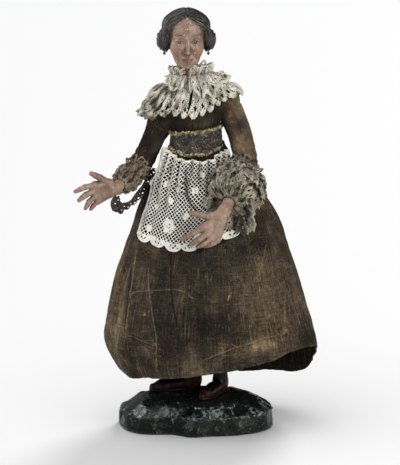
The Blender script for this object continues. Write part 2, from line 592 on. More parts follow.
def build_skirt():
    nth, nz = 480, 86
    th = np.linspace(0, 2 * PI, nth, endpoint=False)
    t = np.linspace(0, 1, nz)
    t = t + 0.05 * np.sin(2 * PI * t) / (2 * PI)
    T, TT = np.meshgrid(th, t, indexing="ij")
    top, hem = belt_bottom(T) + 4.0, hem_at(T)
    ragged = 0.2 * noise3(T * 60, 5.0, seed=12) + 0.2 * noise3(T * 22, 7.0, seed=13) + 0.6 * noise3(T * 7, 2.0, seed=14)
    hem_r = hem + ragged
    z = mixv(top, hem_r, TT)
    arc = T * 70.0
    p0 = skirt_at(T, z)
    relief = cloth_relief(T, z, hem, arc)
    u, v = to_photo(p0)
    front = (p0[..., 1] < 5).astype(float)
    # creases and seams, where the cloth shows them
    pleat = line_mask(u, v, [(141, 235), (137.5, 250), (133.5, 275), (130, 305), (127.5, 338), (128, 352)], 2.4) * front
    dark_l = line_mask(u, v, [(138, 215), (131, 250), (124, 290), (119, 335), (126, 366)], 3.2) * front
    seam = line_mask(u, v, SEAMS[0][0], 1.3) * front
    light1 = line_mask(u, v, CREASES[0][0], 1.0) * front
    crease = line_mask(u, v, CREASES[3][0], 1.6) * front
    turn = np.maximum(line_mask(u, v, SEAMS[3][0], 1.5), line_mask(u, v, SEAMS[4][0], 1.5)) * front
    low_band = smooth(34, 24, z - hem) * smooth(0, 3, z - hem)
    big = 0.9 * line_mask(u, v, [(262, 232), (276, 270), (283, 310), (285, 345)], 6.0) - 0.9 * line_mask(u, v, [(248, 240), (262, 285), (268, 350)], 5.0)
    big = big + 0.7 * line_mask(u, v, [(205, 262), (212, 300), (206, 350)], 6.0) - 0.6 * line_mask(u, v, [(192, 262), (196, 310), (192, 360)], 5.0)
    relief = relief + 1.5 * pleat - 1.3 * dark_l - 0.6 * seam + 0.3 * light1 + 0.4 * crease - 0.55 * turn + front * big + 0.35 * low_band
    pushed = smooth(0, 10, top - z)
    outer = skirt_at(T, z, relief * pushed - 1.5 * (1 - pushed))
    # inside: a rougher lining surface
    nzi = 18
    ti = np.linspace(0, 1, nzi)[::-1]
    thi, tti = np.meshgrid(th, ti, indexing="ij")
    zi = mixv(belt_bottom(thi) + 4.0, (hem_at(thi) + ragged[:, :1]), tti)
    zi = zi + 0.25 * (tti > 0.999)
    inner = skirt_at(thi, zi, np.where(tti > 0.999, -0.9, -1.7) + 0.5 * relief[:, np.clip((ti * (nz - 1)).astype(int), 0, nz - 1)] * smooth(0, 10, belt_bottom(thi) + 4 - zi) - 1.5 * (1 - smooth(0, 10, belt_bottom(thi) + 4 - zi)))
    # rolled hem edge between the two
    P = np.concatenate([outer, inner], 1)
    rows = P.shape[1]
    co = P.reshape(-1, 3)
    faces = [grid_faces(nth, rows, wrap_u=True, wrap_v=True, flip=True)]
    zz = np.concatenate([z, zi], 1)
    arcs = np.concatenate([arc, thi * 70.0], 1)
    cloth = np.stack([arcs * MM, zz * MM, 0 * zz], -1)
    grain = fbm(arc / 30.0, z / 60.0, seed=15, octaves=3)
    tone = 0.485 + 0.14 * grain
    wear = 0.12 * smooth(0.2, 0.6, grain)
    for cu, cv, wu, wv, power in AREAS:
        tone = tone + power * np.exp(-(((u - cu) / wu) ** 2 + ((v - cv) / wv) ** 2)) * front
    for cu, cv, wu, wv, power in RUBS:
        wear = wear + 0.6 * power * np.exp(-(((u - cu) / wu) ** 2 + ((v - cv) / wv) ** 2)) * front
    tone = tone + 0.1 * (1 - front) + 0.12 * noise3(arc / 26.0, z / 30.0, seed=22) * (1 - front)
    tone = tone - 0.25 * (1 - smooth(0, 40, top - z)) * front
    edge_v = np.interp(u, [139, 147, 165, 183, 199, 214, 228, 245], [231, 238, 244, 250, 253, 247, 241, 226])
    tone = tone - 0.52 * front * smooth(136, 141, u - 0.0 * v) * smooth(247, 241, u) * smooth(1.0, -3.0, v - edge_v) * smooth(0, 4, (u - 139) + (v - 150) * 0.22)
    rim = smooth(2.0, 0.2, z - hem_r)
    wear = wear + 0.4 * rim * smooth(-0.3, 0.4, noise3(T * 30, 1.0, seed=16))
    tone = tone + 0.12 * rim
    line, pale = line_distance(u, v, CREASES)
    seam_d, deep = line_distance(u, v, SEAMS)
    for cu, cv, w in ((229, 296, 1.2), (231, 294, 0.9), (228, 299, 0.8), (145, 314, 1.2), (149, 312, 0.9), (285, 330, 1.4), (279, 326, 1.0), (262, 349, 1.0)):
        spot = np.exp(-(((u - cu) / w) ** 2 + ((v - cv) / w) ** 2)) * front
        tone = tone + 0.7 * spot
    behind = front < 0.5
    line, seam_d = np.where(behind, 9.0, line), np.where(behind, 9.0, seam_d)
    pad = np.zeros((nth, nzi))
    full = lambda a, fill=0.0: np.concatenate([a, pad + fill], 1).ravel()
    attrs = dict(cloth=cloth.reshape(-1, 3), tone=full(np.clip(tone, 0, 1.2), 0.1), wear=full(np.clip(wear, 0, 1)), line=full(line, 9.0), pale=full(pale), seam=full(seam_d, 9.0), deep=full(deep))
    o = make_mesh("skirt_cloth", co, faces, GOWN, attrs, ["skirt"])
    # one gored length: as wide as the hem runs round, as long as the longest side, less the gores' taper
    # how far the cloth stands out from its plain shape, for what lies on it
    out = relief * pushed - 1.5 * (1 - pushed)
    high = out.copy()
    for k in range(-5, 6):
        high = np.maximum(high, np.roll(out, k, 0))
    high = sum(np.roll(high, k, 0) for k in range(-6, 7)) / 13
    high = sum(high[:, np.clip(np.arange(nz) + k, 0, nz - 1)] for k in range(-4, 5)) / 9
    return o, (th, z, t, high, top[:, 0], hem_r[:, 0])


skirt, SKIRT_OUT = build_skirt()


def skirt_height(theta, z):
    """how far the skirt's cloth reaches out past skirt_at(theta, z)"""
    th, zz, t, high, top, hem = SKIRT_OUT
    n = len(th)
    x = (np.asarray(theta) / (2 * PI)) % 1.0 * n
    i = np.floor(x).astype(int) % n
    fx = x - np.floor(x)
    share = np.clip((mixv(top[i], top[(i + 1) % n], fx) - z) / (mixv(top[i], top[(i + 1) % n], fx) - mixv(hem[i], hem[(i + 1) % n], fx)), 0, 1)
    y = np.interp(share, t, np.arange(len(t)))
    j = np.clip(np.floor(y).astype(int), 0, len(t) - 2)
    fy = y - j
    a = mixv(high[i, j], high[i, j + 1], fy)
    b = mixv(high[(i + 1) % n, j], high[(i + 1) % n, j + 1], fy)
    return mixv(a, b, fx)


def clear_of_skirt(P, margin):
    """move points that would lie in the skirt out past its cloth"""
    x, y, z = P.T
    a = np.where(x > 0, through(SKIRT["right"], z), through(SKIRT["left"], z))
    b = np.where(y > 0, through(SKIRT["back"], z), through(SKIRT["front"], z))
    th = np.arctan2(y / b, x / a)
    q = np.hypot(x / a, y / b)
    nx, ny = x / a**2, y / b**2
    ln = np.maximum(np.hypot(nx, ny), 1e-6)
    d = (q - 1) * q / ln
    need = fold_depth(th, z) + skirt_height(th, z) + margin
    push = np.maximum(0, need - d) * smooth(226, 220, z)
    return P + np.stack([nx / ln * push, ny / ln * push, 0 * push], -1)


# ------------------------------------------------------------------ bodice and sleeves
def sleeve_line(arm, n=13):
    way = unit(np.array(arm["wrist"], float) - np.array(arm["elbow"], float))
    end = np.array(arm["elbow"], float) + way * SLEEVE_PAST_ELBOW
    pts = spline([arm["shoulder"], arm["mid"], arm["elbow"], end], n)
    rad = through([[0, arm["sleeve"][0]], [1 / 3, arm["sleeve"][1]], [2 / 3, arm["sleeve"][2]], [1, arm["sleeve"][3]]], np.linspace(0, 1, n))
    return pts, rad, end, way


def d_torso(p):
    z = np.clip(p[:, 2], 207, 288)
    cx, cy, a, b = (through(BODY, z, k) for k in (1, 2, 3, 4))
    x, y = (p[:, 0] - cx) / a, (p[:, 1] - cy) / b
    q = np.sqrt(x * x + y * y) + 1e-6
    grad = np.sqrt((x / a) ** 2 + (y / b) ** 2) / q
    d = (q - 1) / np.maximum(grad, 1e-3)
    return smax(d, np.maximum(p[:, 2] - 287.5, 226.0 - p[:, 2]), 2.0)


def d_sleeve(p, arm):
    pts, rad, end, way = sleeve_line(arm)
    best = np.full(len(p), 1e9)
    for i in range(len(pts) - 1):
        best = np.minimum(best, d_cone(p, pts[i], pts[i + 1], rad[i], rad[i + 1]))
    return smax(best, (p - end) @ way, 0.8)


def d_bodice(p):
    arms = np.minimum(d_sleeve(p, ARMS["right"]), d_sleeve(p, ARMS["left"]))
    high = smooth(252, 270, p[:, 2])
    return smin(d_torso(p), arms, 0.6 + 5.5 * high + 10.3 * smooth(-13, -17, p[:, 0]) * bump1(p[:, 2], 242, 13))


def bodice_piece():
    func = d_bodice
    p, q = sdf_mesh(func, (-62, -28, 203), (56, 24, 291), 0.96)
    p, q, _ = keep_largest(p, q)
    _, n = sdf_normal(func, p, 0.5)
    x, y, z = p.T
    # which sleeve a point is on, how far down it and where round it
    along = np.zeros(len(p))
    cloth = np.stack([np.arctan2(y, x) * 22, z, 0 * z], -1)
    onarm = np.zeros(len(p))
    disp = np.zeros(len(p))
    for side, arm in ARMS.items():
        pts, rad, end, way = sleeve_line(arm, 25)
        d = np.linalg.norm(p[:, None, :] - pts[None], axis=2)
        k = d.argmin(1)
        near = d[np.arange(len(p)), k] - rad[k]
        here = smooth(3.5, 1.0, near)
        s = k / 24.0
        tangent = unit(np.gradient(pts, axis=0))[k]
        side_v = unit(np.cross(tangent, [0, -1.0, 0.15]))
        third = np.cross(tangent, side_v)
        off = p - pts[k]
        ang = np.arctan2((off * third).sum(1), (off * side_v).sum(1))
        length = s * 75
        cloth = np.where(here[:, None] > 0.5, np.stack([ang * 10, length, 0 * s], -1), cloth)
        onarm = np.maximum(onarm, here)
        # creases across the bend of the elbow, and long soft folds down the sleeve
        bend = bump1(s, 0.72, 0.16)
        folds = np.sin(length * 0.85 + 1.6 * np.cos(ang) + 2.0 * noise3(ang * 0.8, length / 16, seed=31)) * (0.35 + 0.75 * bend)
        long_f = 0.75 * noise3(ang * 1.6, length / 34, 3.0, seed=32) + 0.35 * noise3(ang * 3.3, length / 20, 5.0, seed=33)
        armhole = -0.9 * bump1(s, 0.08, 0.03)
        disp += here * (0.28 * folds * bend * smooth(0.1, 0.4, s) + 0.6 * long_f + armhole)
    torso = 1 - onarm
    waist = smooth(262, 250, z)
    th = np.arctan2(y, x)
    disp += torso * (0.7 * noise3(th * 6, z / 26, seed=34) + 0.6 * waist * np.sin(th * 34 + 2 * noise3(th * 5, 1.0, seed=35)) * smooth(-0.2, 0.3, noise3(th * 7, 4.0, seed=36)))
    # front opening down the middle of the bodice
    disp += -0.7 * torso * bump1(x, -4.0 + 0.04 * (z - 250), 0.55) * (y < 0)
    disp += 0.3 * fbm(x / 9, y / 9, z / 9, seed=37, octaves=3) + 0.1 * fbm(x / 2.6, y / 2.6, z / 2.6, seed=38, octaves=2)
    disp *= smooth(287.5, 283, z) * smooth(222, 226, np.where(torso > 0.5, z, 230))
    p = p + n * disp[:, None]
    u, v = to_photo(p)
    front = (n[:, 1] < 0.35).astype(float)
    left = onarm * (x > 0)
    right = onarm * (x < 0)
    grain = fbm(x / 18, y / 18, z / 30, seed=39, octaves=3)
    blot = lambda cu, cv, wu, wv: np.exp(-(((u - cu) / wu) ** 2 + ((v - cv) / wv) ** 2))
    tone = 0.43 + 0.3 * grain + 0.27 * left * smooth(226, 238, u) - 0.08 * left * smooth(230, 222, u) - 0.16 * right * front - 0.19 * torso * front
    tone = tone - 0.4 * left * front * blot(239, 126, 5.0, 7) + 0.14 * left * front * blot(229, 114, 4, 12) + 0.12 * left * front * blot(246, 112, 7, 16) + 0.1 * left * front * blot(240, 150, 8, 10)
    tone = tone + 0.24 * right * front * blot(159, 148, 7, 9) - 0.16 * right * front * blot(146, 134, 6, 16) + 0.1 * torso * front * blot(196, 126, 20, 6)
    tone = tone + 0.08 * (1 - front)
    wear = left * front * (0.3 * blot(231, 113, 3.6, 12) + 0.6 * smooth(248, 253, u) + 0.3 * smooth(0.2, 0.5, grain)) + 0.25 * right * smooth(0.2, 0.5, grain)
    far = np.full(len(p), 9.0)
    opening = np.where((y < 0) & (torso > 0.5), (x + 4.0 - 0.04 * (z - 250)) / 0.821, 9.0)
    attrs = dict(cloth=cloth * MM, tone=np.clip(tone, 0, 1.2), wear=np.clip(wear, 0, 1), line=far, pale=0 * far, seam=opening, deep=0 * far + 0.6)
    return make_mesh("bodice_cloth", p, [q], VELVET, attrs, ["bodice_with_sleeves"])


bodice = bodice_piece()


# ------------------------------------------------------------------ the base
def base_material():
    m = Mat("base_paint", roughness=0.35, specular=0.42, Coat_Weight=0.22, Coat_Roughness=0.14)
    place = m.place()
    big = m.noise(place, 45.0, 4.0, 0.6, 0.5)
    small = m.noise(place, 300.0, 4.0, 0.65)
    col = m.ramp(big, [(0.3, rgb(4, 7, 7)), (0.5, rgb(8, 13, 13)), (0.68, rgb(14, 23, 21)), (0.82, rgb(23, 34, 28))])
    # grey-green specks, thick on the walls, and a few rubbed edges
    wall = m.attr("wall")
    specks = m.math("MULTIPLY", m.step(m.noise(place, 560.0, 3.0, 0.7), 0.57, 0.64), m.step(m.noise(place, 95.0, 3.0, 0.6), 0.45, 0.58))
    col = m.mix(m.math("MULTIPLY", specks, m.math("ADD", m.math("MULTIPLY", wall, 0.7), 0.1)), col, rgb(122, 136, 116))
    patch = m.math("MULTIPLY", m.step(m.noise(place, 120.0, 5.0, 0.72, 0.8), 0.5, 0.6), m.step(m.noise(place, 42.0, 2.0, 0.5), 0.4, 0.56))
    col = m.mix(m.math("MULTIPLY", patch, m.math("ADD", m.math("MULTIPLY", wall, 0.5), 0.08)), col, rgb(56, 69, 54))
    bloom = m.math("MULTIPLY", m.step(m.noise(place, 230.0, 4.0, 0.7, 0.5), 0.57, 0.66), m.step(m.noise(m.scaled(place, (1, 1, 1), (0.4, 0.2, 0.1)), 50.0, 2.0, 0.5), 0.46, 0.6))
    col = m.mix(m.math("MULTIPLY", bloom, m.math("ADD", m.math("MULTIPLY", wall, 0.7), 0.1)), col, rgb(118, 128, 112))
    cool = m.step(m.noise(place, 60.0, 3.0, 0.6), 0.5, 0.7)
    col = m.mix(m.math("MULTIPLY", cool, m.math("MULTIPLY", wall, 0.22)), col, rgb(34, 44, 45))
    rub = m.math("MULTIPLY", m.attr("edge"), m.step(small, 0.46, 0.6), clamp=True)
    col = m.mix(m.math("MULTIPLY", rub, 0.6), col, rgb(168, 180, 176))
    m.color(m.mix(m.math("MULTIPLY", wall, 0.35), col, rgb(6, 9, 9)))
    m.put(m.b.inputs["Specular IOR Level"], m.math("SUBTRACT", 0.42, m.math("MULTIPLY", wall, 0.26)))
    m.put(m.b.inputs["Coat Weight"], m.math("SUBTRACT", 0.22, m.math("MULTIPLY", wall, 0.18)))
    m.rough(m.ramp(m.noise(place, 130.0, 3.0, 0.6), [(0.35, 0.18), (0.62, 0.5)]))
    n1 = m.bump(small, 0.5, 0.0007)
    m.normal(m.bump(m.noise(place, 900.0, 2.0, 0.6), 0.3, 0.00016, n1))
    return m.mat


def build_base():
    rng = np.random.default_rng(11)
    prof = [[0, 0.985], [2.5, 1.0], [9, 0.998], [13.5, 0.985], [16, 0.945], [19, 0.885], [22.5, 0.8], [25.2, 0.7]]

    def body(p):
        r, a = np.hypot(p[:, 0], p[:, 1]), np.arctan2(p[:, 1], p[:, 0])
        wall = (r - around(BASE_RADII, a) * through(prof, p[:, 2])) * 0.86
        top = p[:, 2] - (FLOOR_TOP - 0.2 + 0.25 * noise3(p[:, 0] / 22, p[:, 1] / 22, seed=41))
        return smax(smax(wall, top, 1.6), -p[:, 2], 0.6)

    # flat cuts of the gouge: one plane for each, met by the nearest points of the skin
    rings = [(26, 8.0, 1.0), (24, 19.0, 0.89), (18, 24.3, 0.72), (12, 25.0, 0.5), (6, 25.0, 0.25), (1, 25.0, 0.0)]
    cuts = []
    for count, zc, share in rings:
        a = (np.arange(count) + rng.uniform(-0.3, 0.3, count) + 0.37 * len(cuts)) / count * 2 * PI
        r = around(BASE_RADII, a) * share
        cuts.append(np.stack([r * np.cos(a), r * np.sin(a), zc + rng.uniform(-1.6, 1.6, count) * (zc < 24)], -1))
    cuts = np.vstack(cuts)
    for _ in range(4):
        d, n = sdf_normal(body, cuts, 0.5)
        cuts = cuts - n * d[:, None]
    _, plane = sdf_normal(body, cuts, 1.6)
    plane = unit(plane + rng.normal(0, 0.13, plane.shape) * np.where(cuts[:, 2:] > 23.5, 0.3, 1.0))
    sink = rng.uniform(0.1, 0.8, len(cuts))

    p, q = sdf_mesh(body, (-68, -52, -1.5), (68, 50, 27), 1.08)
    p, q, _ = keep_largest(p, q)
    _, n = sdf_normal(body, p, 0.6)
    best, second, k = np.full(len(p), 1e9), np.full(len(p), 1e9), np.zeros(len(p), int)
    for i, c in enumerate(cuts):
        d = np.linalg.norm((p - c) * [1, 1, 0.8], axis=1)
        closer = d < best
        second = np.where(closer, best, np.minimum(second, d))
        k = np.where(closer, i, k)
        best = np.where(closer, d, best)
    gap = second - best
    x, y, z = p.T
    off = ((p - cuts[k]) * plane[k]).sum(1)
    d = np.clip(-off / np.maximum((n * plane[k]).sum(1), 0.5), -2.2, 1.4) - sink[k]
    top_flat = smooth(0.9, 0.99, n[:, 2])
    d = d * (1 - 0.75 * top_flat) * smooth(0.2, 1.6, z)
    d = d + 0.14 * fbm(x / 4, y / 4, z / 4, seed=42, octaves=3) * smooth(0.3, 2, z)
    d -= 0.45 * smooth(0.6, 0.85, fbm(x / 3.2, y / 3.2, z / 3.2, seed=43, octaves=2)) * smooth(1, 3, z)
    p = p + n * np.minimum(d, 0.9)[:, None]
    under = n[:, 2] < -0.9
    p[:, 2] = np.where(under | (p[:, 2] < 0.35), np.maximum(p[:, 2], 0), p[:, 2])
    p[:, 2] = np.where(under, 0.0, p[:, 2])
    inside_shoes = (np.hypot(x - 5, y - 5) < 40) & (n[:, 2] > 0.8)
    p[:, 2] = np.where(inside_shoes, np.minimum(p[:, 2], FLOOR_TOP + 0.05), p[:, 2])
    crown = smooth(0.9, 0.72, n[:, 2]) * smooth(0.35, 0.6, n[:, 2]) * smooth(0.1, 0.5, noise3(x / 9, y / 9, z / 9, seed=45))
    edge = np.clip(smooth(1.1, 0.2, gap) * smooth(2, 6, z) * smooth(0.0, 0.5, noise3(x / 7, y / 7, z / 7, seed=44)) + 0.7 * crown, 0, 1)
    wall = smooth(0.85, 0.45, n[:, 2]) * smooth(0, 3, z)
    return make_mesh("carved_base", p, [q], base_material(), dict(edge=edge, wall=wall), ["base"])


base = build_base()


# ------------------------------------------------------------------ legs with shoes
def shoe_material():
    m = Mat("shoe_paint", roughness=0.42, specular=0.2)
    place = m.place()
    hi = m.attr("stocking")
    n = m.noise(place, 180.0, 4.0, 0.6)
    shoe = m.ramp(n, [(0.3, rgb(22, 6, 5)), (0.55, rgb(46, 14, 10)), (0.8, rgb(72, 27, 17))])
    shoe = m.mix(m.math("MULTIPLY", m.attr("patch"), m.step(n, 0.36, 0.56), clamp=True), shoe, rgb(122, 60, 32))
    stocking = m.ramp(n, [(0.3, rgb(4, 3, 3)), (0.8, rgb(10, 7, 7))])
    sole = m.attr("sole")
    col = m.mix(hi, shoe, stocking)
    col = m.mix(sole, col, rgb(16, 11, 9))
    m.color(m.mix(m.math("MULTIPLY", m.step(m.noise(place, 420.0, 2.0), 0.64, 0.72), 0.4), col, rgb(80, 56, 42)))
    m.rough(m.ramp(n, [(0.3, 0.36), (0.8, 0.58)]))
    m.normal(m.bump(n, 0.35, 0.0006))
    return m.mat


def build_leg(name, node, heel, yaw, ankle, hip, mat):
    yaw = math.radians(yaw)
    way, side = np.array([math.cos(yaw), math.sin(yaw), 0]), np.array([-math.sin(yaw), math.cos(yaw), 0])
    z0 = FLOOR_TOP + 0.35
    heel3 = np.array([heel[0], heel[1], z0])
    at = lambda t, s, h: heel3 + way * (45 * t) + side * s + np.array([0, 0, h])
    ank = np.array([ankle[0], ankle[1], 31.0])
    mid = np.array([mixv(ankle[0], hip[0], 0.45), mixv(ankle[1], hip[1], 0.3), 100.0])
    legp = spline([ank, [ankle[0], ankle[1], 48], mid, [hip[0], hip[1], 160], [hip[0], hip[1], 206]], 12)
    legr = through([[0, 5.6], [0.1, 5.9], [0.35, 8.3], [0.7, 8.2], [1, 9.2]], np.linspace(0, 1, 12))

    def func(p):
        d = np.full(len(p), 1e9)
        for i in range(11):
            d = np.minimum(d, d_cone(p, legp[i], legp[i + 1], legr[i], legr[i + 1]))
        d = np.maximum(d, p[:, 2] - 206.4)
        shoe = d_cone(p, at(0.16, 0, 6.2), at(0.5, 0, 5.2), 5.6, 5.0)
        shoe = smin(shoe, d_cone(p, at(0.5, 0, 4.6), at(0.74, 0, 3.8), 5.4, 5.6), 3.0)
        shoe = smin(shoe, d_cone(p, at(0.74, 0, 3.6), at(0.93, 0, 3.0), 5.4, 2.9), 3.0)
        shoe = smin(shoe, d_cone(p, at(0.14, 0, 9.5), at(0.2, 0, 11), 5.4, 5.6), 2.5)
        d = smin(d, shoe, 3.0)
        # welt of the sole
        loc = (p - heel3) @ np.stack([way, side, [0, 0, 1]], 1)
        half = through([[0, 4.2], [6, 5.7], [17, 5.0], [32, 6.7], [39.5, 5.4], [44.5, 1.8]], loc[:, 0])
        sole = np.maximum(np.maximum(np.abs(loc[:, 1]) - half - 0.3, np.abs(loc[:, 0] - 22.3) - 22.6), np.abs(loc[:, 2] - 0.9) - 0.9)
        d = np.minimum(d, sole)
        return smax(d, z0 - p[:, 2], 0.3)

    hi = np.array([28, 26, 207.5])
    allp = np.vstack([legp, [at(0, 0, 0)], [at(1, 0, 0)]])
    p, q = sdf_mesh(func, [allp[:, 0].min() - 11, allp[:, 1].min() - 11, z0 - 1.2], [allp[:, 0].max() + 11, allp[:, 1].max() + 11, 60], 0.62)
    # the leg above shows only from below, so it is coarser
    top_co, top_f = [], []
    keep = p[:, 2] < 58.5
    idx = np.cumsum(keep) - 1
    q = q[keep[q].all(1)]
    p, q = p[keep], idx[q]
    n_s, n_r = 28, 12
    line = spline([[ankle[0], ankle[1], 57.0], mid, [hip[0], hip[1], 160], [hip[0], hip[1], 206.2]], n_s)
    rad = np.interp(np.linspace(0, 1, n_s), np.linspace(0, 1, 12), legr) * np.interp(np.linspace(0, 1, n_s), [0, 0.06, 1], [0.97, 1, 1])
    a = np.linspace(0, 2 * PI, 24, endpoint=False)
    ring = line[:, None, :] + rad[:, None, None] * np.stack([np.cos(a), np.sin(a), 0 * a], -1)[None]
    co = np.vstack([ring.reshape(-1, 3), line[0] + [0, 0, 0], line[-1]])
    f = grid_faces(n_s, 24, wrap_v=True, flip=True)
    k = np.arange(24)
    cap = np.stack([n_s * 24 + 0 * k, (k + 1) % 24, k], -1)
    cap2 = np.stack([n_s * 24 + 1 + 0 * k, (n_s - 1) * 24 + k, (n_s - 1) * 24 + (k + 1) % 24], -1)
    co_all = np.vstack([p, co])
    faces = [np.vstack([q, f + len(p)]), np.vstack([cap, cap2]) + len(p)]
    z = co_all[:, 2]
    loc = (co_all - heel3) @ np.stack([way, side, [0, 0, 1]], 1)
    throat = 11.5 - 0.13 * loc[:, 0] + 1.2 * np.cos(loc[:, 1] * 0.6)
    stocking = smooth(throat - 0.5, throat + 0.5, z - z0)
    sole = smooth(2.3, 1.7, z - z0)
    pu, pv = to_photo(co_all)
    patch = np.exp(-(((pu - 203) / 4.0) ** 2 + ((pv - 388) / 5.0) ** 2)) * (co_all[:, 1] < 5)
    return make_mesh(name, co_all, faces, mat, dict(stocking=stocking, sole=sole, patch=patch), [node])


SHOE = shoe_material()
build_leg("right_shoe_and_stocking", "right_leg_with_shoe", [5, 17], 187, [-4, 15], [-7.5, 1], SHOE)
build_leg("left_shoe_and_stocking", "left_leg_with_shoe", [23, 17], 244, [19.5, 8], [11.5, 1], SHOE)


# ------------------------------------------------------------------ lace
def lace_mesh(U, V, F, place, thick, width, least=0.14, puff=None):
    """A closed mesh of the places where F is over 0 in a flat sheet, laid into space by place(u, v).
    Threads and cloth work get a rounded section: thin at their edges, thick in the middle."""
    F = F.copy()
    F[0], F[-1] = np.minimum(F[0], -0.05), np.minimum(F[-1], -0.05)
    F[:, 0], F[:, -1] = np.minimum(F[:, 0], -0.05), np.minimum(F[:, -1], -0.05)
    ins = F > 0
    ni = int(ins.sum())
    node = np.full(F.shape, -1)
    node[ins] = np.arange(ni)
    ei, ej = ins[:-1] != ins[1:], ins[:, :-1] != ins[:, 1:]
    id_i, id_j = np.full(ei.shape, -1), np.full(ej.shape, -1)
    id_i[ei] = 2 * ni + np.arange(ei.sum())
    id_j[ej] = 2 * ni + ei.sum() + np.arange(ej.sum())

    def cross(A, B, fa, fb):
        t = np.clip(fa / (fa - fb), 0.08, 0.92)
        return A + (B - A) * t

    uu = np.concatenate([U[ins], U[ins], cross(U[:-1], U[1:], F[:-1], F[1:] - 1e-9)[ei], cross(U[:, :-1], U[:, 1:], F[:, :-1], F[:, 1:] - 1e-9)[ej]])
    vv = np.concatenate([V[ins], V[ins], cross(V[:-1], V[1:], F[:-1], F[1:] - 1e-9)[ei], cross(V[:, :-1], V[:, 1:], F[:, :-1], F[:, 1:] - 1e-9)[ej]])
    q = np.clip(F[ins] / width, least, 1)
    h = np.concatenate([q, q])
    h = thick / 2 * np.sqrt(2 * h - h * h)
    if puff is not None:
        h = h * np.concatenate([puff[ins], puff[ins]])
    h[ni:] *= -1
    h = np.concatenate([h, np.zeros(len(uu) - 2 * ni)])
    P = place(uu, vv)
    e = 0.25
    n = unit(np.cross(place(uu + e, vv) - place(uu - e, vv), place(uu, vv + e) - place(uu, vv - e)))
    P = P + n * h[:, None]
    sym = dict(a=node[:-1, :-1], b=node[1:, :-1], c=node[1:, 1:], d=node[:-1, 1:], p=id_i[:, :-1], q=id_j[1:, :], r=id_i[:, 1:], s=id_j[:-1, :])
    code = ins[:-1, :-1] * 1 + ins[1:, :-1] * 2 + ins[1:, 1:] * 4 + ins[:-1, 1:] * 8
    mean = (F[:-1, :-1] + F[1:, :-1] + F[1:, 1:] + F[:-1, 1:]) > 0
    table = {1: ["aps"], 2: ["bqp"], 4: ["crq"], 8: ["dsr"], 3: ["abqs"], 6: ["bcrp"], 12: ["cdsq"], 9: ["apr", "ard"], 7: ["abc", "acrs"], 11: ["abq", "aqrd"], 13: ["apq", "aqcd"], 14: ["bcd", "bdsp"], 15: ["abcd"]}
    tri, quad = [], []

    def put(poly, where):
        f = np.stack([sym[k][where] for k in poly], -1)
        back = np.where((f >= 0) & (f < ni), f + ni, f)[:, ::-1]
        (tri if len(poly) == 3 else quad).extend([f, back])

    for c, polys in table.items():
        where = code == c
        for poly in polys:
            put(poly, where)
    for c, joined, apart in ((5, ["apqc", "acrs"], ["aps", "crq"]), (10, ["bqrd", "bdsp"], ["bqp", "dsr"])):
        for poly in joined:
            put(poly, (code == c) & mean)
        for poly in apart:
            put(poly, (code == c) & ~mean)
    return P, np.concatenate(tri), np.concatenate(quad), uu, vv, n


def main_part(P, tri, quad, extra):
    """drop the loose crumbs of a lace mesh"""
    q4 = np.concatenate([np.column_stack([tri, tri[:, 2]]), quad])
    _, _, keep = keep_largest(P, q4)
    idx = np.cumsum(keep) - 1
    return P[keep], idx[tri[keep[tri[:, 0]]]], idx[quad[keep[quad[:, 0]]]], [x[keep] for x in extra]


def net(u, v, s, hw):
    p, q = (u + v) / math.sqrt(2), (v - u) / math.sqrt(2)
    return hw - np.minimum(np.abs(p - s * np.round(p / s)), np.abs(q - s * np.round(q / s)))


def turned_grid(u0, u1, v0, v1, step):
    """sample places on a grid at 45 degrees, in line with the threads of the net"""
    c = [((u + v) / math.sqrt(2), (v - u) / math.sqrt(2)) for u in (u0, u1) for v in (v0, v1)]
    p0, p1 = min(x[0] for x in c), max(x[0] for x in c)
    q0, q1 = min(x[1] for x in c), max(x[1] for x in c)
    p = np.arange(math.floor(p0 / step) - 1, math.ceil(p1 / step) + 2) * step
    q = np.arange(math.floor(q0 / step) - 1, math.ceil(q1 / step) + 2) * step
    Pg, Qg = np.meshgrid(p, q, indexing="ij")
    return (Pg - Qg) / math.sqrt(2), (Pg + Qg) / math.sqrt(2)


def solid_area(F, U, V):
    """flat area of the threads, without the holes, in square millimetres"""
    cell = abs((U[1, 0] - U[0, 0]) * (V[0, 1] - V[0, 0]) - (U[0, 1] - U[0, 0]) * (V[1, 0] - V[0, 0]))
    return float((np.clip(F / 0.4 + 0.5, 0, 1)).sum() * cell)


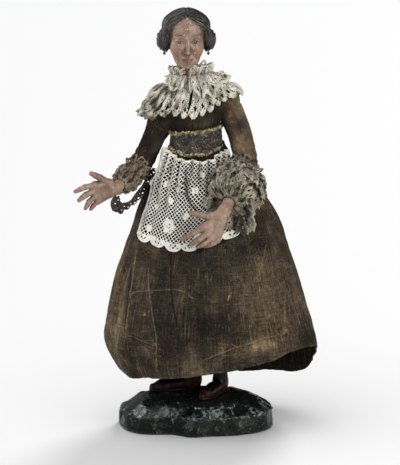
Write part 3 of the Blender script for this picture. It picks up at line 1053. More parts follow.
def lace_material(name, light, dark, soil, soil_amount, see=0.12):
    m = Mat(name, roughness=0.85, specular=0.2, Sheen_Weight=0.15)
    flat = m.attr("cloth", "Vector")
    place = m.place()
    shade = m.attr("shade")
    blotch = m.noise(place, 70.0, 4.0, 0.6)
    fine = m.noise(m.scaled(flat, (900, 2400, 1)), 1.0, 2.0, 0.7)
    col = m.ramp(blotch, [(0.3, dark), (0.62, light)])
    col = m.mix(m.math("MULTIPLY", m.step(fine, 0.5, 0.3), 0.35), col, soil)
    col = m.mix(m.math("MULTIPLY", shade, soil_amount, clamp=True), col, soil)
    if soil_amount > 0.75:
        # worked threads catch the light and the gaps between them stay dark
        grain = m.noise(m.scaled(flat, (640, 640, 1)), 1.0, 3.0, 0.7)
        col = m.mix(m.math("MULTIPLY", m.step(grain, 0.48, 0.36), 0.6), col, soil)
        col = m.mix(m.math("MULTIPLY", m.step(grain, 0.54, 0.66), 0.45), col, light)
    m.color(col)
    threads = m.math("ADD", m.wave(flat, 480.0, 2.5, 2.0, "X", 3.0), m.wave(flat, 520.0, 2.5, 2.0, "Y", 3.0))
    m.normal(m.bump(m.math("ADD", threads, m.math("MULTIPLY", m.noise(m.scaled(flat, (1600, 1600, 1)), 1.0, 2.0), 1.6)), 0.7, 0.00016))
    # a little light comes through the thin threads
    thin = m.node("ShaderNodeBsdfTranslucent")
    m.put(thin.inputs["Color"], col)
    both = m.node("ShaderNodeMixShader")
    both.inputs[0].default_value = see
    m.nt.links.new(m.b.outputs[0], both.inputs[1])
    m.nt.links.new(thin.outputs[0], both.inputs[2])
    out = next(n for n in m.nt.nodes if n.type == "OUTPUT_MATERIAL")
    m.nt.links.new(both.outputs[0], out.inputs[0])
    return m.mat


# ------------------------------------------------------------------ apron
APRON_W, APRON_L = 51.5, 79.0


def apron_base(u, v):
    t = np.clip(v / APRON_L, -0.05, 1.05)
    k = u / APRON_W
    th = mixv(-1.675, -1.80, t) + mixv(1.33, 0.855, smooth(0, 0.7, t)) * k
    bottom = through([[-1, 163.5], [-0.5, 158], [0, 154.5], [0.5, 160], [1, 171]], np.clip(k, -1.02, 1.02))
    top = 225.6 + 8.0 * smooth(0.1, 1.0, np.abs(k)) + 0.9 * noise3(u / 7.0, 3.0, seed=61)
    return th, top + (bottom - top) * t, t, k


def apron_place(u, v):
    ju = u + 0.35 * noise3(u / 7.0, v / 7.0, seed=62)
    jv = v + 0.35 * noise3(u / 7.0, v / 7.0, 5.0, seed=63)
    th, z, t, k = apron_base(ju, jv)
    # gathers, deep under the belt and easing out down the net
    ph = 2 * PI * (ju / 10.5 + 0.35 * noise3(ju / 22.0, t * 1.2, seed=64))
    amp = 2.7 * smooth(0.95, 0.0, t) ** 1.2 * smooth(-0.02, 0.05, t + 0.03) + 0.35
    fold = amp * (np.cos(ph) * 0.75 + 0.3 * np.cos(2.3 * ph + 1.0) * smooth(0.5, 0.1, t))
    p0 = skirt_at(th, z)
    x, y = to_photo(p0)
    pleat = 3.4 * line_mask(x, y, [(184, 163), (182.3, 178), (183.6, 194)], 1.6) + 3.0 * line_mask(x, y, [(190, 159), (188.5, 168), (187.2, 177)], 1.4) + 1.6 * line_mask(x, y, [(192, 176), (193, 190), (196, 202)], 2.2) - 3.2 * line_mask(x, y, [(186.6, 172), (185.6, 183), (187.2, 195), (191, 205), (197, 211)], 1.4) - 2.0 * line_mask(x, y, [(193.5, 161), (192.4, 172)], 1.5)
    slant = 1.9 * line_mask(x, y, [(156, 183), (166, 177), (180, 166)], 1.9) + 1.3 * line_mask(x, y, [(159, 172), (170, 167), (178, 162)], 1.5)
    slant = slant + 1.6 * line_mask(x, y, [(211, 160), (215, 175), (214, 192)], 1.8) + 1.2 * line_mask(x, y, [(202, 162), (203, 180), (205, 200)], 1.6)
    soft = 0.7 * noise3(ju / 16.0, jv / 16.0, 2.0, seed=65)
    lift = skirt_height(th, z) + 1.25 + amp * 0.75 + fold + pleat + slant + soft
    lift = np.maximum(lift, skirt_height(th, z) + 0.7)
    edge = smooth(APRON_L - 8, APRON_L, v)
    lift = lift + edge * (0.5 + 0.9 * np.cos(2 * PI * ju / 15.6 + 1.0))
    return skirt_at(th, z, lift)


def build_apron():
    s = 2.6
    U, V = turned_grid(-APRON_W - 1, APRON_W + 1, -1, APRON_L + 1, s / 5)
    F = net(U, V, s, 0.355)
    w = np.abs(((U / 15.6) % 1.0) * 2 - 1)
    edge_v = APRON_L - 4.2 * (1 - np.sqrt(1 - 0.93 * w * w)) / (1 - math.sqrt(0.07))
    edge_v = edge_v - 2.0 * smooth(45, 52, np.abs(U)) ** 2 * 2
    dense = (V - (edge_v - 6.8 + 1.2 * np.cos(2 * PI * U / 15.6)))
    side = np.abs(U) - (APRON_W - 2.0 - 4.5 * smooth(45, 72, V) + 0.8 * np.cos(2 * PI * V / 7.0))
    heading = 2.3 + 0.6 * np.cos(2 * PI * U / 5.3) - V
    solid = np.maximum(np.maximum(dense, side), heading)
    # flowers and sprigs worked in the net
    gu, gv = np.meshgrid(np.linspace(-APRON_W, APRON_W, 180), np.linspace(0, APRON_L, 140), indexing="ij")
    px, py = to_photo(apron_place(gu.ravel(), gv.ravel()))
    holes = np.full(U.shape, 9.0)
    for i, (cx, cy, size, petals) in enumerate([(168.7, 226, 7.0, 6), (167.5, 184, 3.0, 4), (170.6, 201, 3.2, 4), (157, 207, 2.9, 4), (195.6, 191, 3.3, 4), (186, 217, 3.0, 4), (217.5, 230, 3.0, 4), (203, 176, 2.8, 4), (160, 191, 2.4, 4), (178, 190, 2.2, 4), (212, 200, 2.8, 4), (230, 205, 2.8, 4), (150, 228, 3.0, 4), (200, 238, 6.0, 6)]):
        k = int(np.argmin((px - cx) ** 2 + (py - cy) ** 2))
        du, dv = U - gu.ravel()[k], V - gv.ravel()[k]
        r, a = np.hypot(du, dv), np.arctan2(dv, du) + i
        solid = np.maximum(solid, size * (0.66 + 0.34 * np.abs(np.cos(a * petals / 2)) ** 0.8) - r)
        if size > 5:
            holes = np.minimum(holes, np.abs(r - 1.75) - 0.42)
            pet = np.hypot(r - 4.6, ((a * petals / (2 * PI) + 0.5) % 1.0 - 0.5) * 2 * PI / petals * 4.6)
            holes = np.minimum(holes, pet - 0.62)
        else:
            holes = np.minimum(holes, r - 0.5)
    cu = (np.floor(U / 15.6) + 0.5) * 15.6
    ring = np.hypot(U - cu, V - (APRON_L - 5.3))
    spokes = np.abs(np.sin(1.5 * np.arctan2(V - (APRON_L - 5.3), U - cu) + 0.6)) * ring
    holes = np.minimum(holes, np.maximum(np.abs(ring - 2.25) - 0.72, 0.34 - spokes))
    bu = np.round(U / 15.6) * 15.6
    holes = np.minimum(holes, np.hypot(U - bu, V - (APRON_L - 7.6)) - 1.0)
    holes = np.minimum(holes, np.hypot(U - cu, V - (APRON_L - 1.5)) - 0.35)
    holes = np.minimum(holes, np.hypot((U - cu) - 4.6 * np.sign(U - cu), V - (APRON_L - 3.6)) - 0.62)
    F = np.maximum(F, np.minimum(solid, holes))
    F = np.minimum(F, np.minimum(np.minimum(edge_v - V, APRON_W - np.abs(U)), V))
    P, tri, quad, uu, vv, n = lace_mesh(U, V, F, apron_place, 0.62, 0.32)
    P, tri, quad, (uu, vv) = main_part(P, tri, quad, [uu, vv])
    x, y = to_photo(P)
    shade = 0.0 + 0.34 * smooth(220, 240, x) + 0.2 * smooth(150, 142, x) + 0.16 * noise3(uu / 9, vv / 9, seed=66)
    shade = shade + 0.5 * np.exp(-(((x - 156) / 4.0) ** 2 + ((y - 190) / 7.0) ** 2))
    shade = shade + 1.0 * line_mask(x, y, [(186.6, 170), (185.6, 183), (187.2, 195), (191, 205), (197, 211)], 1.7) + 0.5 * line_mask(x, y, [(193.8, 160), (192.6, 172)], 1.2)
    shade = shade + 0.35 * line_mask(x, y, [(150, 186), (146, 203), (141, 222)], 3.5) + 0.3 * line_mask(x, y, [(163, 176), (172, 169), (181, 162)], 1.6)
    shade = shade + 0.2 * line_mask(x, y, [(207, 160), (210, 176), (210, 196)], 1.8) + 0.3 * line_mask(x, y, [(219, 158), (221, 172)], 1.6)
    attrs = dict(cloth=np.stack([uu, vv, 0 * uu], -1) * MM, shade=np.clip(shade, 0, 1))
    mat = lace_material("apron_net", rgb(252, 249, 240), rgb(240, 235, 222), rgb(76, 66, 53), 0.72, 0.08)
    o = make_mesh("net_apron", P, [tri, quad], mat, attrs, ["lace_apron"])
    return o


apron = build_apron()


# ------------------------------------------------------------------ collar
class Laid:
    """a surface kept as a grid of points and normals over (u, v), both 0 to 1; u may wrap"""

    def __init__(self, P, wrap=True, out=None):
        self.P, self.wrap = P, wrap
        du = np.roll(P, -1, 0) - np.roll(P, 1, 0) if wrap else np.gradient(P, axis=0)
        n = unit(np.cross(du, np.gradient(P, axis=1)))
        for _ in range(2):
            n = unit(n + np.roll(n, 1, 0) + np.roll(n, -1, 0)) if wrap else n
        self.N = n if out is None else n * np.sign((n * out).sum(-1).mean())

    def at(self, u, v):
        nu, nv = self.P.shape[:2]
        x = (np.asarray(u) % 1.0) * nu if self.wrap else np.clip(u, 0, 1) * (nu - 1)
        y = np.clip(v, 0, 1) * (nv - 1)
        i = np.floor(x).astype(int)
        j = np.clip(np.floor(y).astype(int), 0, nv - 2)
        fx, fy = (x - i)[..., None], (y - j)[..., None]
        i0, i1 = i % nu if self.wrap else np.clip(i, 0, nu - 1), (i + 1) % nu if self.wrap else np.clip(i + 1, 0, nu - 1)
        g = lambda A: mixv(mixv(A[i0, j], A[i1, j], fx), mixv(A[i0, j + 1], A[i1, j + 1], fx), fy)
        return g(self.P), unit(g(self.N))


FALL_REACH = [40, 37, 33, 31, 32, 35, 40, 34, 29.5, 29, 31, 36]
FALL_EDGE = [276, 272, 268, 266, 267, 264, 256, 256, 262, 260, 264, 272]
SLIT = -1.66


def fall_surface():
    th = np.linspace(0, 2 * PI, 240, endpoint=False)
    t = np.linspace(0, 1.06, 40)
    T, K = np.meshgrid(th, t, indexing="ij")
    r0 = NECK_R + 2.0
    r = r0 + (around(FALL_REACH, T) - r0) * K ** (0.95 + 0.55 * bump1(T, PI, 0.8))
    z = 293.6 - (293.6 - around(FALL_EDGE, T)) * K**1.35
    P = np.stack([HEAD["x"] + 2 + r * np.cos(T), 0.86 * r * np.sin(T), z], -1)
    q = P.reshape(-1, 3)
    for _ in range(5):
        d, n = sdf_normal(d_bodice, q, 0.4)
        q = q + n * np.maximum(0, 1.3 - d)[:, None]
    P = q.reshape(P.shape)
    for _ in range(3):
        P = (P + np.roll(P, 1, 0) + np.roll(P, -1, 0)) / 3
    return Laid(P, True, np.stack([np.cos(T), np.sin(T), 1.0 + 0 * T], -1))


FALL = fall_surface()


def tab_edge(u, width, tab, depth, tooth=0.35, tooth_w=1.5):
    w = np.abs(((u / tab) % 1.0) * 2 - 1)
    e = width - depth * (1 - np.sqrt(1 - 0.94 * w * w)) / (1 - math.sqrt(0.06))
    return e - tooth * (1 - np.abs(np.sin(PI * u / tooth_w)))


def eyelets(u, v, tab, centre_v, ru, rv, shift=0.0):
    """signed distance to a row of oval holes, positive outside them"""
    cu = (np.floor(u / tab + shift) + 0.5 - shift) * tab
    return (np.hypot((u - cu) / ru, (v - centre_v) / rv) - 1) * min(ru, rv)


COLLAR = lace_material("cream_lace", rgb(240, 235, 220), rgb(205, 197, 177), rgb(80, 67, 48), 0.95)
AGED = lace_material("aged_lace", rgb(166, 146, 122), rgb(112, 96, 76), rgb(34, 26, 19), 1.0)
BEIGE = lace_material("beige_lace", rgb(190, 180, 158), rgb(120, 110, 92), rgb(22, 18, 15), 1.0)
DUSKY = lace_material("dusky_lace", rgb(66, 60, 51), rgb(40, 36, 31), rgb(16, 13, 10), 0.8)


def tri_area(P, f):
    return float(np.linalg.norm(np.cross(P[f[:, 1]] - P[f[:, 0]], P[f[:, 2]] - P[f[:, 0]]), axis=1).sum() / 2)


def lace_piece(name, U, V, F, place, thick, width, mat, replaces, flat, puff=None, shade=None):
    P, tri, quad, uu, vv, n = lace_mesh(U, V, F, place, thick, width, puff=puff)
    P, tri, quad, (uu, vv, n) = main_part(P, tri, quad, [uu, vv, n])
    sh = 0.3 + 0.35 * fbm(uu / 7, vv / 7, seed=71) if shade is None else shade(uu, vv, P)
    o = make_mesh(name, P, [tri, quad], mat, dict(cloth=np.stack([uu, vv, 0 * uu], -1) * MM, shade=np.clip(sh, 0, 1)), replaces)
    # the cut's size: the cloth as it lies, where its folds take more than the plain strip
    area = float(solid_area(F, U, V))
    half = (tri_area(P, tri) + tri_area(P, quad[:, [0, 1, 2]]) + tri_area(P, quad[:, [0, 2, 3]])) / 2
    grow = math.sqrt(max(half / (1.15 * area), 1.0))
    flat = (flat[0] * grow, flat[1] * grow)
    area = float(np.clip(area * grow * grow, 0.31 * flat[0] * flat[1], flat[0] * flat[1]))
    print(name, "triangles", len(tri) + 2 * len(quad), "flat mm", round(flat[0], 1), round(flat[1], 1), "threads mm2", round(area), "half surface", round(half))
    return o


def build_fall():
    L, W, tab = 215.0, 27.0, 8.6
    U, V = turned_grid(-1, L + 1, -1, W + 1, 0.5)
    # no two tabs are quite alike
    X = U + 2.3 * noise3(U / 13.0, 1.0, seed=301)
    reach = W - 1.0 + 1.3 * noise3(U / 19.0, 2.0, seed=302)
    edge = tab_edge(X, reach, tab, 3.7, 0.6, 1.9)
    F = net(U, V, 1.5, 0.45)
    band = np.maximum(V - (edge - 3.4), 2.6 - V)
    trail = 1.5 - np.abs(V - (W - 12.2 + 1.5 * np.cos(2 * PI * X / tab)))
    leaf = 2.0 - np.hypot((X - (np.floor(X / tab) + 0.5) * tab) / 1.2, V - (W - 15.0))
    stem = 0.9 - np.abs(X - np.round(X / tab) * tab - 1.2 * np.sin(V / 2.2)) * 0.9
    F = np.maximum(F, np.minimum(np.maximum(np.maximum(band, trail), np.maximum(leaf, np.minimum(stem, V - 5))), 1.0))
    holes = eyelets(X, V, tab, W - 6.0, 1.0, 1.25)
    holes = np.minimum(holes, eyelets(X, V, tab, W - 9.8, 0.7, 0.9, 0.5))
    holes = np.minimum(holes, eyelets(X, V, tab, W - 15.0, 0.6, 0.8))
    holes = np.minimum(holes, np.minimum(eyelets(X - 2.4, V, tab, W - 4.6, 0.45, 0.6), eyelets(X + 2.4, V, tab, W - 4.6, 0.45, 0.6)))
    F = np.minimum(F, holes)
    F = np.minimum(F, np.minimum(np.minimum(edge - V, V), np.minimum(U, L - U)))
    puff = 0.85 + 0.95 * np.exp(-(((holes - 0.45) / 0.4) ** 2)) + 0.6 * np.exp(-(((edge - V - 0.6) / 0.45) ** 2))

    def waves(u, v):
        t = v / W
        ph = 2 * PI * (u / 12.9 + 0.45 * noise3(u / 20.0, 1.0, seed=73))
        lumps = 0.9 * noise3(u / 5.0, v / 5.4, 2.0, seed=74) + 0.8 * (1 - 2.4 * np.abs(noise3(u / 7.0, v / 6.5, 5.0, seed=303))) + 0.45 * noise3(u / 2.6, v / 2.8, 8.0, seed=310)
        return t, ph, lumps * smooth(0.08, 0.6, t)

    def place(u, v):
        t, ph, lumps = waves(u, v)
        th = SLIT + 0.03 + (2 * PI - 0.06) * u / L + 0.04 * noise3(u / 8, v / 8, seed=72) * t
        th = th + 0.38 * (1 - np.clip(t, 0, 1)) * np.exp(-((np.minimum(u, L - u) / 26.0) ** 2))
        front = smooth(0.2, -0.6, np.sin(th))
        amp = 0.15 + (0.28 + 1.1 * (1 - front)) * smooth(0.25, 1.0, t)
        flat = bump1(th % (2 * PI), 4.75, 0.75)
        left = bump1(th % (2 * PI), 3.75, 0.45)
        low = mixv(1.0, smooth(0.35, 0.75, t), np.clip(1.25 * bump1(th % (2 * PI), 3.05, 1.05), 0, 1))
        lift = 0.25 + amp * (1 + np.cos(ph)) * (0.3 + 0.7 * low) + 0.5 * t + np.maximum(lumps + 0.7, 0) * (0.75 + 0.5 * left + 0.35 * (1 - front)) * (1 - 0.75 * flat) * (0.12 + 0.88 * low) + 0.45 * (1 + np.cos(2 * PI * u / 4.1)) * smooth(0.4, 0, t)
        side = bump1(th % (2 * PI), 3.4, 0.75)
        lift = lift + side * smooth(0.35, 0.6, t) * (1.5 * noise3(u / 2.3, v / 2.3, 3.0, seed=311) + 1.6 * (1 - 2.4 * np.abs(noise3(u / 4.2, v / 3.4, 9.0, seed=312))))
        th = th + side * smooth(0.35, 0.6, t) * 0.055 * noise3(u / 2.9, v / 2.9, 6.0, seed=313)
        lift = lift + left * smooth(0.55, 0.95, t) * (1.0 + 1.2 * np.sin(2 * PI * u / 7.5 + 1.5 * noise3(u / 9, v / 7, seed=304)))
        p, n = FALL.at(th / (2 * PI), t / (1.0 + 0.03 * bump1(th % (2 * PI), 5.6, 0.8)))
        return p + n * lift[:, None]

    def shade(u, v, P):
        t, ph, lumps = waves(u, v)
        th = SLIT + 2 * PI * u / L
        left = bump1(th % (2 * PI), 3.55, 0.75)
        flat = bump1(th % (2 * PI), 4.75, 0.75)
        side = bump1(th % (2 * PI), 3.4, 0.75) * smooth(0.3, 0.5, t)
        pits = smooth(0.0, -0.7, 1.5 * noise3(u / 2.3, v / 2.3, 3.0, seed=311) + 1.2 * (1 - 2.4 * np.abs(noise3(u / 4.2, v / 3.4, 9.0, seed=312))))
        return 0.04 + 0.4 * fbm(u / 6, v / 6, seed=75) - 0.2 * np.cos(ph) * t * (1 - flat) + 1.0 * smooth(0.35, -0.9, lumps) * (1 - 0.85 * flat) * (1 - 0.5 * smooth(0.2, 0.8, np.sin(th))) - 0.1 * lumps + 0.4 * smooth(0.4, 0.0, t) + side * (0.55 + 1.2 * pits) + 0.1 * smooth(0.0, 0.8, np.sin(th))

    lace_piece("collar_fall", U, V, F, place, 0.9, 0.4, COLLAR, ["lace_collar"], (L, W), puff, shade)


def build_second_ruffle():
    L, W, tab = 205.0, 15.5, 6.8
    reach2 = [31, 28.5, 24, 22, 22, 20, 19, 20, 21, 20, 26, 30]
    U, V = turned_grid(-1, L + 1, -1, W + 1, 0.5)
    X = U + 1.8 * noise3(U / 11.0, 1.0, seed=305)
    edge = tab_edge(X, W - 0.7 + 0.9 * noise3(U / 15.0, 2.0, seed=306), tab, 2.4, 0.55, 1.8)
    F = net(U, V, 1.5, 0.44)
    band = np.maximum(V - (edge - 2.4), 1.6 - V)
    flower = 2.1 - np.hypot(X - np.round(X / tab) * tab, V - (W - 7.6))
    F = np.maximum(F, np.minimum(np.maximum(band, flower), 1.0))
    holes = np.minimum(eyelets(X, V, tab, W - 4.4, 0.8, 1.05), eyelets(X, V, tab, W - 7.6, 0.65, 0.8, 0.5))
    F = np.minimum(F, holes)
    F = np.minimum(F, np.minimum(np.minimum(edge - V, V), np.minimum(U, L - U)))
    puff = 0.85 + 0.75 * np.exp(-(((holes - 0.4) / 0.35) ** 2)) + 0.5 * np.exp(-(((edge - V - 0.6) / 0.4) ** 2))

    def place(u, v):
        t = v / W
        ph = 2 * PI * (u / 10.3 + 0.35 * noise3(u / 24.0, 1.0, seed=76))
        th = SLIT + 0.07 + (2 * PI - 0.14) * (u / L) + 0.055 * np.sin(ph * 1.0) * t
        r0, R = NECK_R + 2.0, around(FALL_REACH, th)
        t = np.clip(t, 0, 1)
        k = (around(reach2, th) - r0) / (R - r0)
        big = smooth(-0.2, 0.6, np.cos(th + 0.7))
        amp = smooth(0.1, 1, t) * (1.1 + 1.15 * big + 0.5 * noise3(u / 13, 4.0, seed=77))
        lift = 0.9 + (1.2 + 0.8 * big) * smooth(0, 0.35, t) + amp * (1.15 + np.cos(ph)) + (1.2 + 0.6 * big) * (noise3(u / 4.6, v / 4.8, 2.0, seed=78) + 0.7 * (1 - 2.4 * np.abs(noise3(u / 7, v / 6, 6.0, seed=307)))) * smooth(0.05, 0.6, t)
        curl = smooth(0.75, 1.0, t) * (0.6 + 0.6 * np.cos(ph + 0.8))
        p, n = FALL.at(th / (2 * PI), np.clip(t * k, 0, 1) / 1.06)
        return p + n * (lift + curl * 0.9)[:, None] + np.array([0, 0, 1.0]) * (0.9 * (1 - t) * smooth(0, 0.1, t))[:, None]

    def shade(u, v, P):
        t = v / W
        ph = 2 * PI * (u / 10.3 + 0.35 * noise3(u / 24.0, 1.0, seed=76))
        return 0.22 + 0.4 * fbm(u / 4, v / 4, seed=79) - 0.34 * np.cos(ph) * t + 0.4 * smooth(0.4, 0.0, t) - 0.42 * (1 - 2.4 * np.abs(noise3(u / 7, v / 6, 6.0, seed=307)))

    lace_piece("collar_ruffle", U, V, F, place, 0.85, 0.4, COLLAR, ["lace_collar"], (L, W), puff, shade)


def build_neck_ruffle():
    L, W, tab = 186.0, 10.5, 5.6
    U, V = turned_grid(-1, L + 1, -1, W + 1, 0.5)
    X = U + 1.5 * noise3(U / 9.0, 1.0, seed=308)
    edge = tab_edge(X, W - 0.6 + 0.9 * noise3(U / 12.0, 2.0, seed=309), tab, 1.9, 0.5, 1.7)
    F = net(U, V, 1.5, 0.44)
    band = np.maximum(V - (edge - 2.0), 1.4 - V)
    F = np.maximum(F, np.minimum(band, 1.0))
    holes = np.minimum(eyelets(X, V, tab, W - 3.5, 0.7, 0.9), eyelets(X, V, tab, W - 6.4, 0.55, 0.65, 0.5))
    F = np.minimum(F, holes)
    F = np.minimum(F, np.minimum(np.minimum(edge - V, V), np.minimum(U, L - U)))
    puff = 0.85 + 0.7 * np.exp(-(((holes - 0.4) / 0.35) ** 2)) + 0.5 * np.exp(-(((edge - V - 0.6) / 0.4) ** 2))

    def place(u, v):
        t = v / W
        ph = 2 * PI * (u / 11.6 + 0.3 * noise3(u / 26.0, 1.0, seed=80))
        a = SLIT + 0.1 + (2 * PI - 0.2) * (u / L)
        big = 0.75 + 0.5 * smooth(-0.3, 0.7, np.cos(a + 0.45))
        r = NECK_R + 1.35 + t * (7.6 + 2.6 * np.cos(a) + 0.9 * np.cos(2 * a)) + t * 1.0 * np.sin(ph + 0.7) * big
        z = 295.2 + t * (2.4 + 3.6 * (0.5 + 0.5 * np.cos(a + 0.35))) + smooth(0, 0.6, t) * 2.4 * big * np.cos(ph) + 1.5 * t * noise3(u / 4.5, v / 5, seed=81)
        aa = a + t * 0.115 * big * np.sin(ph)
        return np.stack([HEAD["x"] + 1.2 + r * np.cos(aa), -1.0 + 0.93 * r * np.sin(aa), z], -1)

    def shade(u, v, P):
        t = v / W
        ph = 2 * PI * (u / 11.6 + 0.3 * noise3(u / 26.0, 1.0, seed=80))
        return 0.12 + 0.34 * fbm(u / 4.5, v / 4.5, seed=82) - 0.28 * np.cos(ph) * t + 0.45 * smooth(0.5, 0.0, t)

    lace_piece("neck_ruffle", U, V, F, place, 0.8, 0.4, COLLAR, ["neck_frill"], (L, W), puff, shade)


build_fall()
build_second_ruffle()
build_neck_ruffle()


# ------------------------------------------------------------------ cuffs and flounces
def arm_frame(arm):
    way = unit(np.array(arm["wrist"], float) - np.array(arm["elbow"], float))
    end = np.array(arm["elbow"], float) + way * SLEEVE_PAST_ELBOW
    up = unit(np.array([0, 0, 1.0]) - way * way[2])
    return end, way, up, np.cross(way, up)


CUFFS = dict(
    right=dict(outward=1, prof=[[-4.4, 12.0], [-2.0, 10.4], [0.2, 8.8], [2.6, 9.3], [7, 9.5], [12, 9.3], [17, 8.9], [21, 8.2], [24.6, 7.0], [28.0, 5.3]], swell=0.5, inner=0.0, pleats=24, folds=4.0, deep=1.5, length=112.0),
    left=dict(outward=-1, prof=[[-7.6, 14.6], [-4.0, 12.4], [0.0, 10.0], [3.4, 12.6], [8, 14.8], [14, 16.0], [20, 15.8], [25.5, 14.0], [30, 11.0], [33.5, 7.8], [35.5, 5.3]], swell=4.6, inner=4.0, pleats=15, folds=3.1, deep=2.6, length=160.0),
)


def ridged(u, v, w, seed):
    """sharp crests between soft hollows, about -1 to 1"""
    return 1 - 2.6 * np.abs(noise3(u, v, w, seed=seed))


def build_cuff(side):
    c, arm = CUFFS[side], ARMS[side]
    end, way, up, across = arm_frame(arm)
    prof = np.array(c["prof"], float)
    s = np.concatenate([[0], np.cumsum(np.hypot(*np.diff(prof, axis=0).T))])
    W, L, tab = float(s[-1]) * 1.1, c["length"], 7.0
    seed = 90 if side == "right" else 95
    U, V = turned_grid(-1, L + 1, -1, W + 1, 0.64)
    X = U + 1.8 * noise3(U / 11.0, 1.0, seed=seed + 8)
    edge = W - tab_edge(X, W - 0.6 + 0.8 * noise3(U / 9.0, 3.0, seed=seed + 9), tab, 2.2, 0.6, 1.9)
    F = net(U, V, 1.92, 0.49)
    band = np.maximum(np.maximum((edge + 2.6) - V, 1.2 - np.abs(V - 9.0)), V - (W - 2.0))
    flower = 2.6 - np.hypot(X - np.round(X / 9.0) * 9.0, (V - 17.0 - 3 * np.cos(2 * PI * X / 18.0)))
    work = 1.3 - np.abs(V - 26.0 - 2.2 * np.cos(2 * PI * X / 11.0))
    F = np.maximum(F, np.minimum(np.maximum(np.maximum(band, flower), work), 1.0))
    holes = np.minimum(eyelets(X, V, tab, 3.8, 0.7, 0.9), eyelets(X, V, 9.0, 24.0, 0.9, 1.1))
    holes = np.minimum(holes, np.minimum(eyelets(X, V, 6.3, 13.0, 0.6, 0.8, 0.3), eyelets(X, V, 7.4, 19.5, 0.7, 0.8, 0.7)))
    F = np.minimum(F, holes)
    F = np.minimum(F, np.minimum(np.minimum(V - edge, W - V), np.minimum(U, L - U)))
    puff = 0.85 + 0.8 * np.exp(-(((holes - 0.4) / 0.35) ** 2))

    def folds(u, v):
        t = v / W
        a = 3.5 + (2 * PI - 0.01) * u / L
        flare = smooth(0.26, 0.0, t)
        body = smooth(0.24, 0.4, t) * smooth(1.02, 0.9, t)
        ph = c["pleats"] * a + 1.9 * noise3(a * 1.8, t * 2.6, seed=seed) + 0.9 * np.sin(7 * t + a)
        twist = a + 0.25 * np.sin(5 * t + a) + 0.5 * t
        crest = 0.45 * ridged(twist * c["folds"], t * 2.4, 1.0, seed + 6) + 0.5 * ridged(a * 1.4 + 0.5 * np.sin(4 * t), t * 5.2, 2.0, seed + 14) + 0.4 * ridged(twist * c["folds"] * 2.1, t * 6.0, 4.0, seed + 7)
        lump = 0.8 * noise3(u / 3.4, v / 3.4, seed=seed + 2) + 0.5 * (1 - 2.4 * np.abs(noise3(u / 4.6, v / 4.2, 3.0, seed=seed + 12)))
        return t, a, flare, body, ph, crest, lump

    def place(u, v):
        t, a, flare, body, ph, crest, lump = folds(u, v)
        q = t * s[-1]
        along, r = np.interp(q, s, prof[:, 0]), through(np.stack([s, prof[:, 1]], 1), q)
        r = r + (c["swell"] * (0.5 + 0.5 * np.sin(a) * c["outward"]) + c["inner"] * np.maximum(0, -np.sin(a) * c["outward"]) * smooth(0.35, 0.85, t)) * body
        r = r + c["deep"] * body * (0.22 * np.cos(ph) + 1.0 * crest) + 1.6 * flare * np.cos(8 * a + 1.8 * noise3(a * 1.9, 2.0, seed=seed + 1)) + 1.5 * lump * (0.25 + 0.75 * body)
        along = along + 1.0 * flare * np.sin(8 * a + 1.8 * noise3(a * 1.9, 2.0, seed=seed + 1)) + 1.2 * body * noise3(u / 7, v / 6, 7.0, seed=seed + 4)
        r = np.maximum(r, np.where(along > 22, 5.3, 7.6))
        sag = -(2.0 if side == "right" else 2.8) * body * (0.5 - 0.5 * np.cos(a))
        P = end + way * along[:, None] + up * (np.cos(a) * r)[:, None] + across * (np.sin(a) * r)[:, None] + np.array([0, 0, 1.0]) * sag[:, None]
        return clear_of_skirt(P, 3.2)

    def shade(u, v, P):
        t, a, flare, body, ph, crest, lump = folds(u, v)
        return (0.16 if side == "right" else 0.26) + 0.45 * fbm(u / 6, v / 6, seed=seed + 5) - 0.05 * body * np.cos(ph) - 0.6 * body * crest + 1.0 * smooth(0.2, -0.6, lump) - 0.1 * lump + 0.5 * np.exp(-(((t - 0.22) / 0.05) ** 2)) - 0.35 * smooth(0.86, 0.97, t) - 0.1 * flare

    lace_piece(side + "_lace_cuff", U, V, F, place, 0.9, 0.42, AGED if side == "right" else BEIGE, [side + "_cuff"], (L, W), puff, shade)


def from_photo(u, v, y):
    """the point that shows at (u, v) in the photograph and lies at depth y"""
    return np.stack([(u - 197) * 0.821, y + 0 * u, ((425 - v) * 0.821 - y * 0.208) / 0.978], -1)


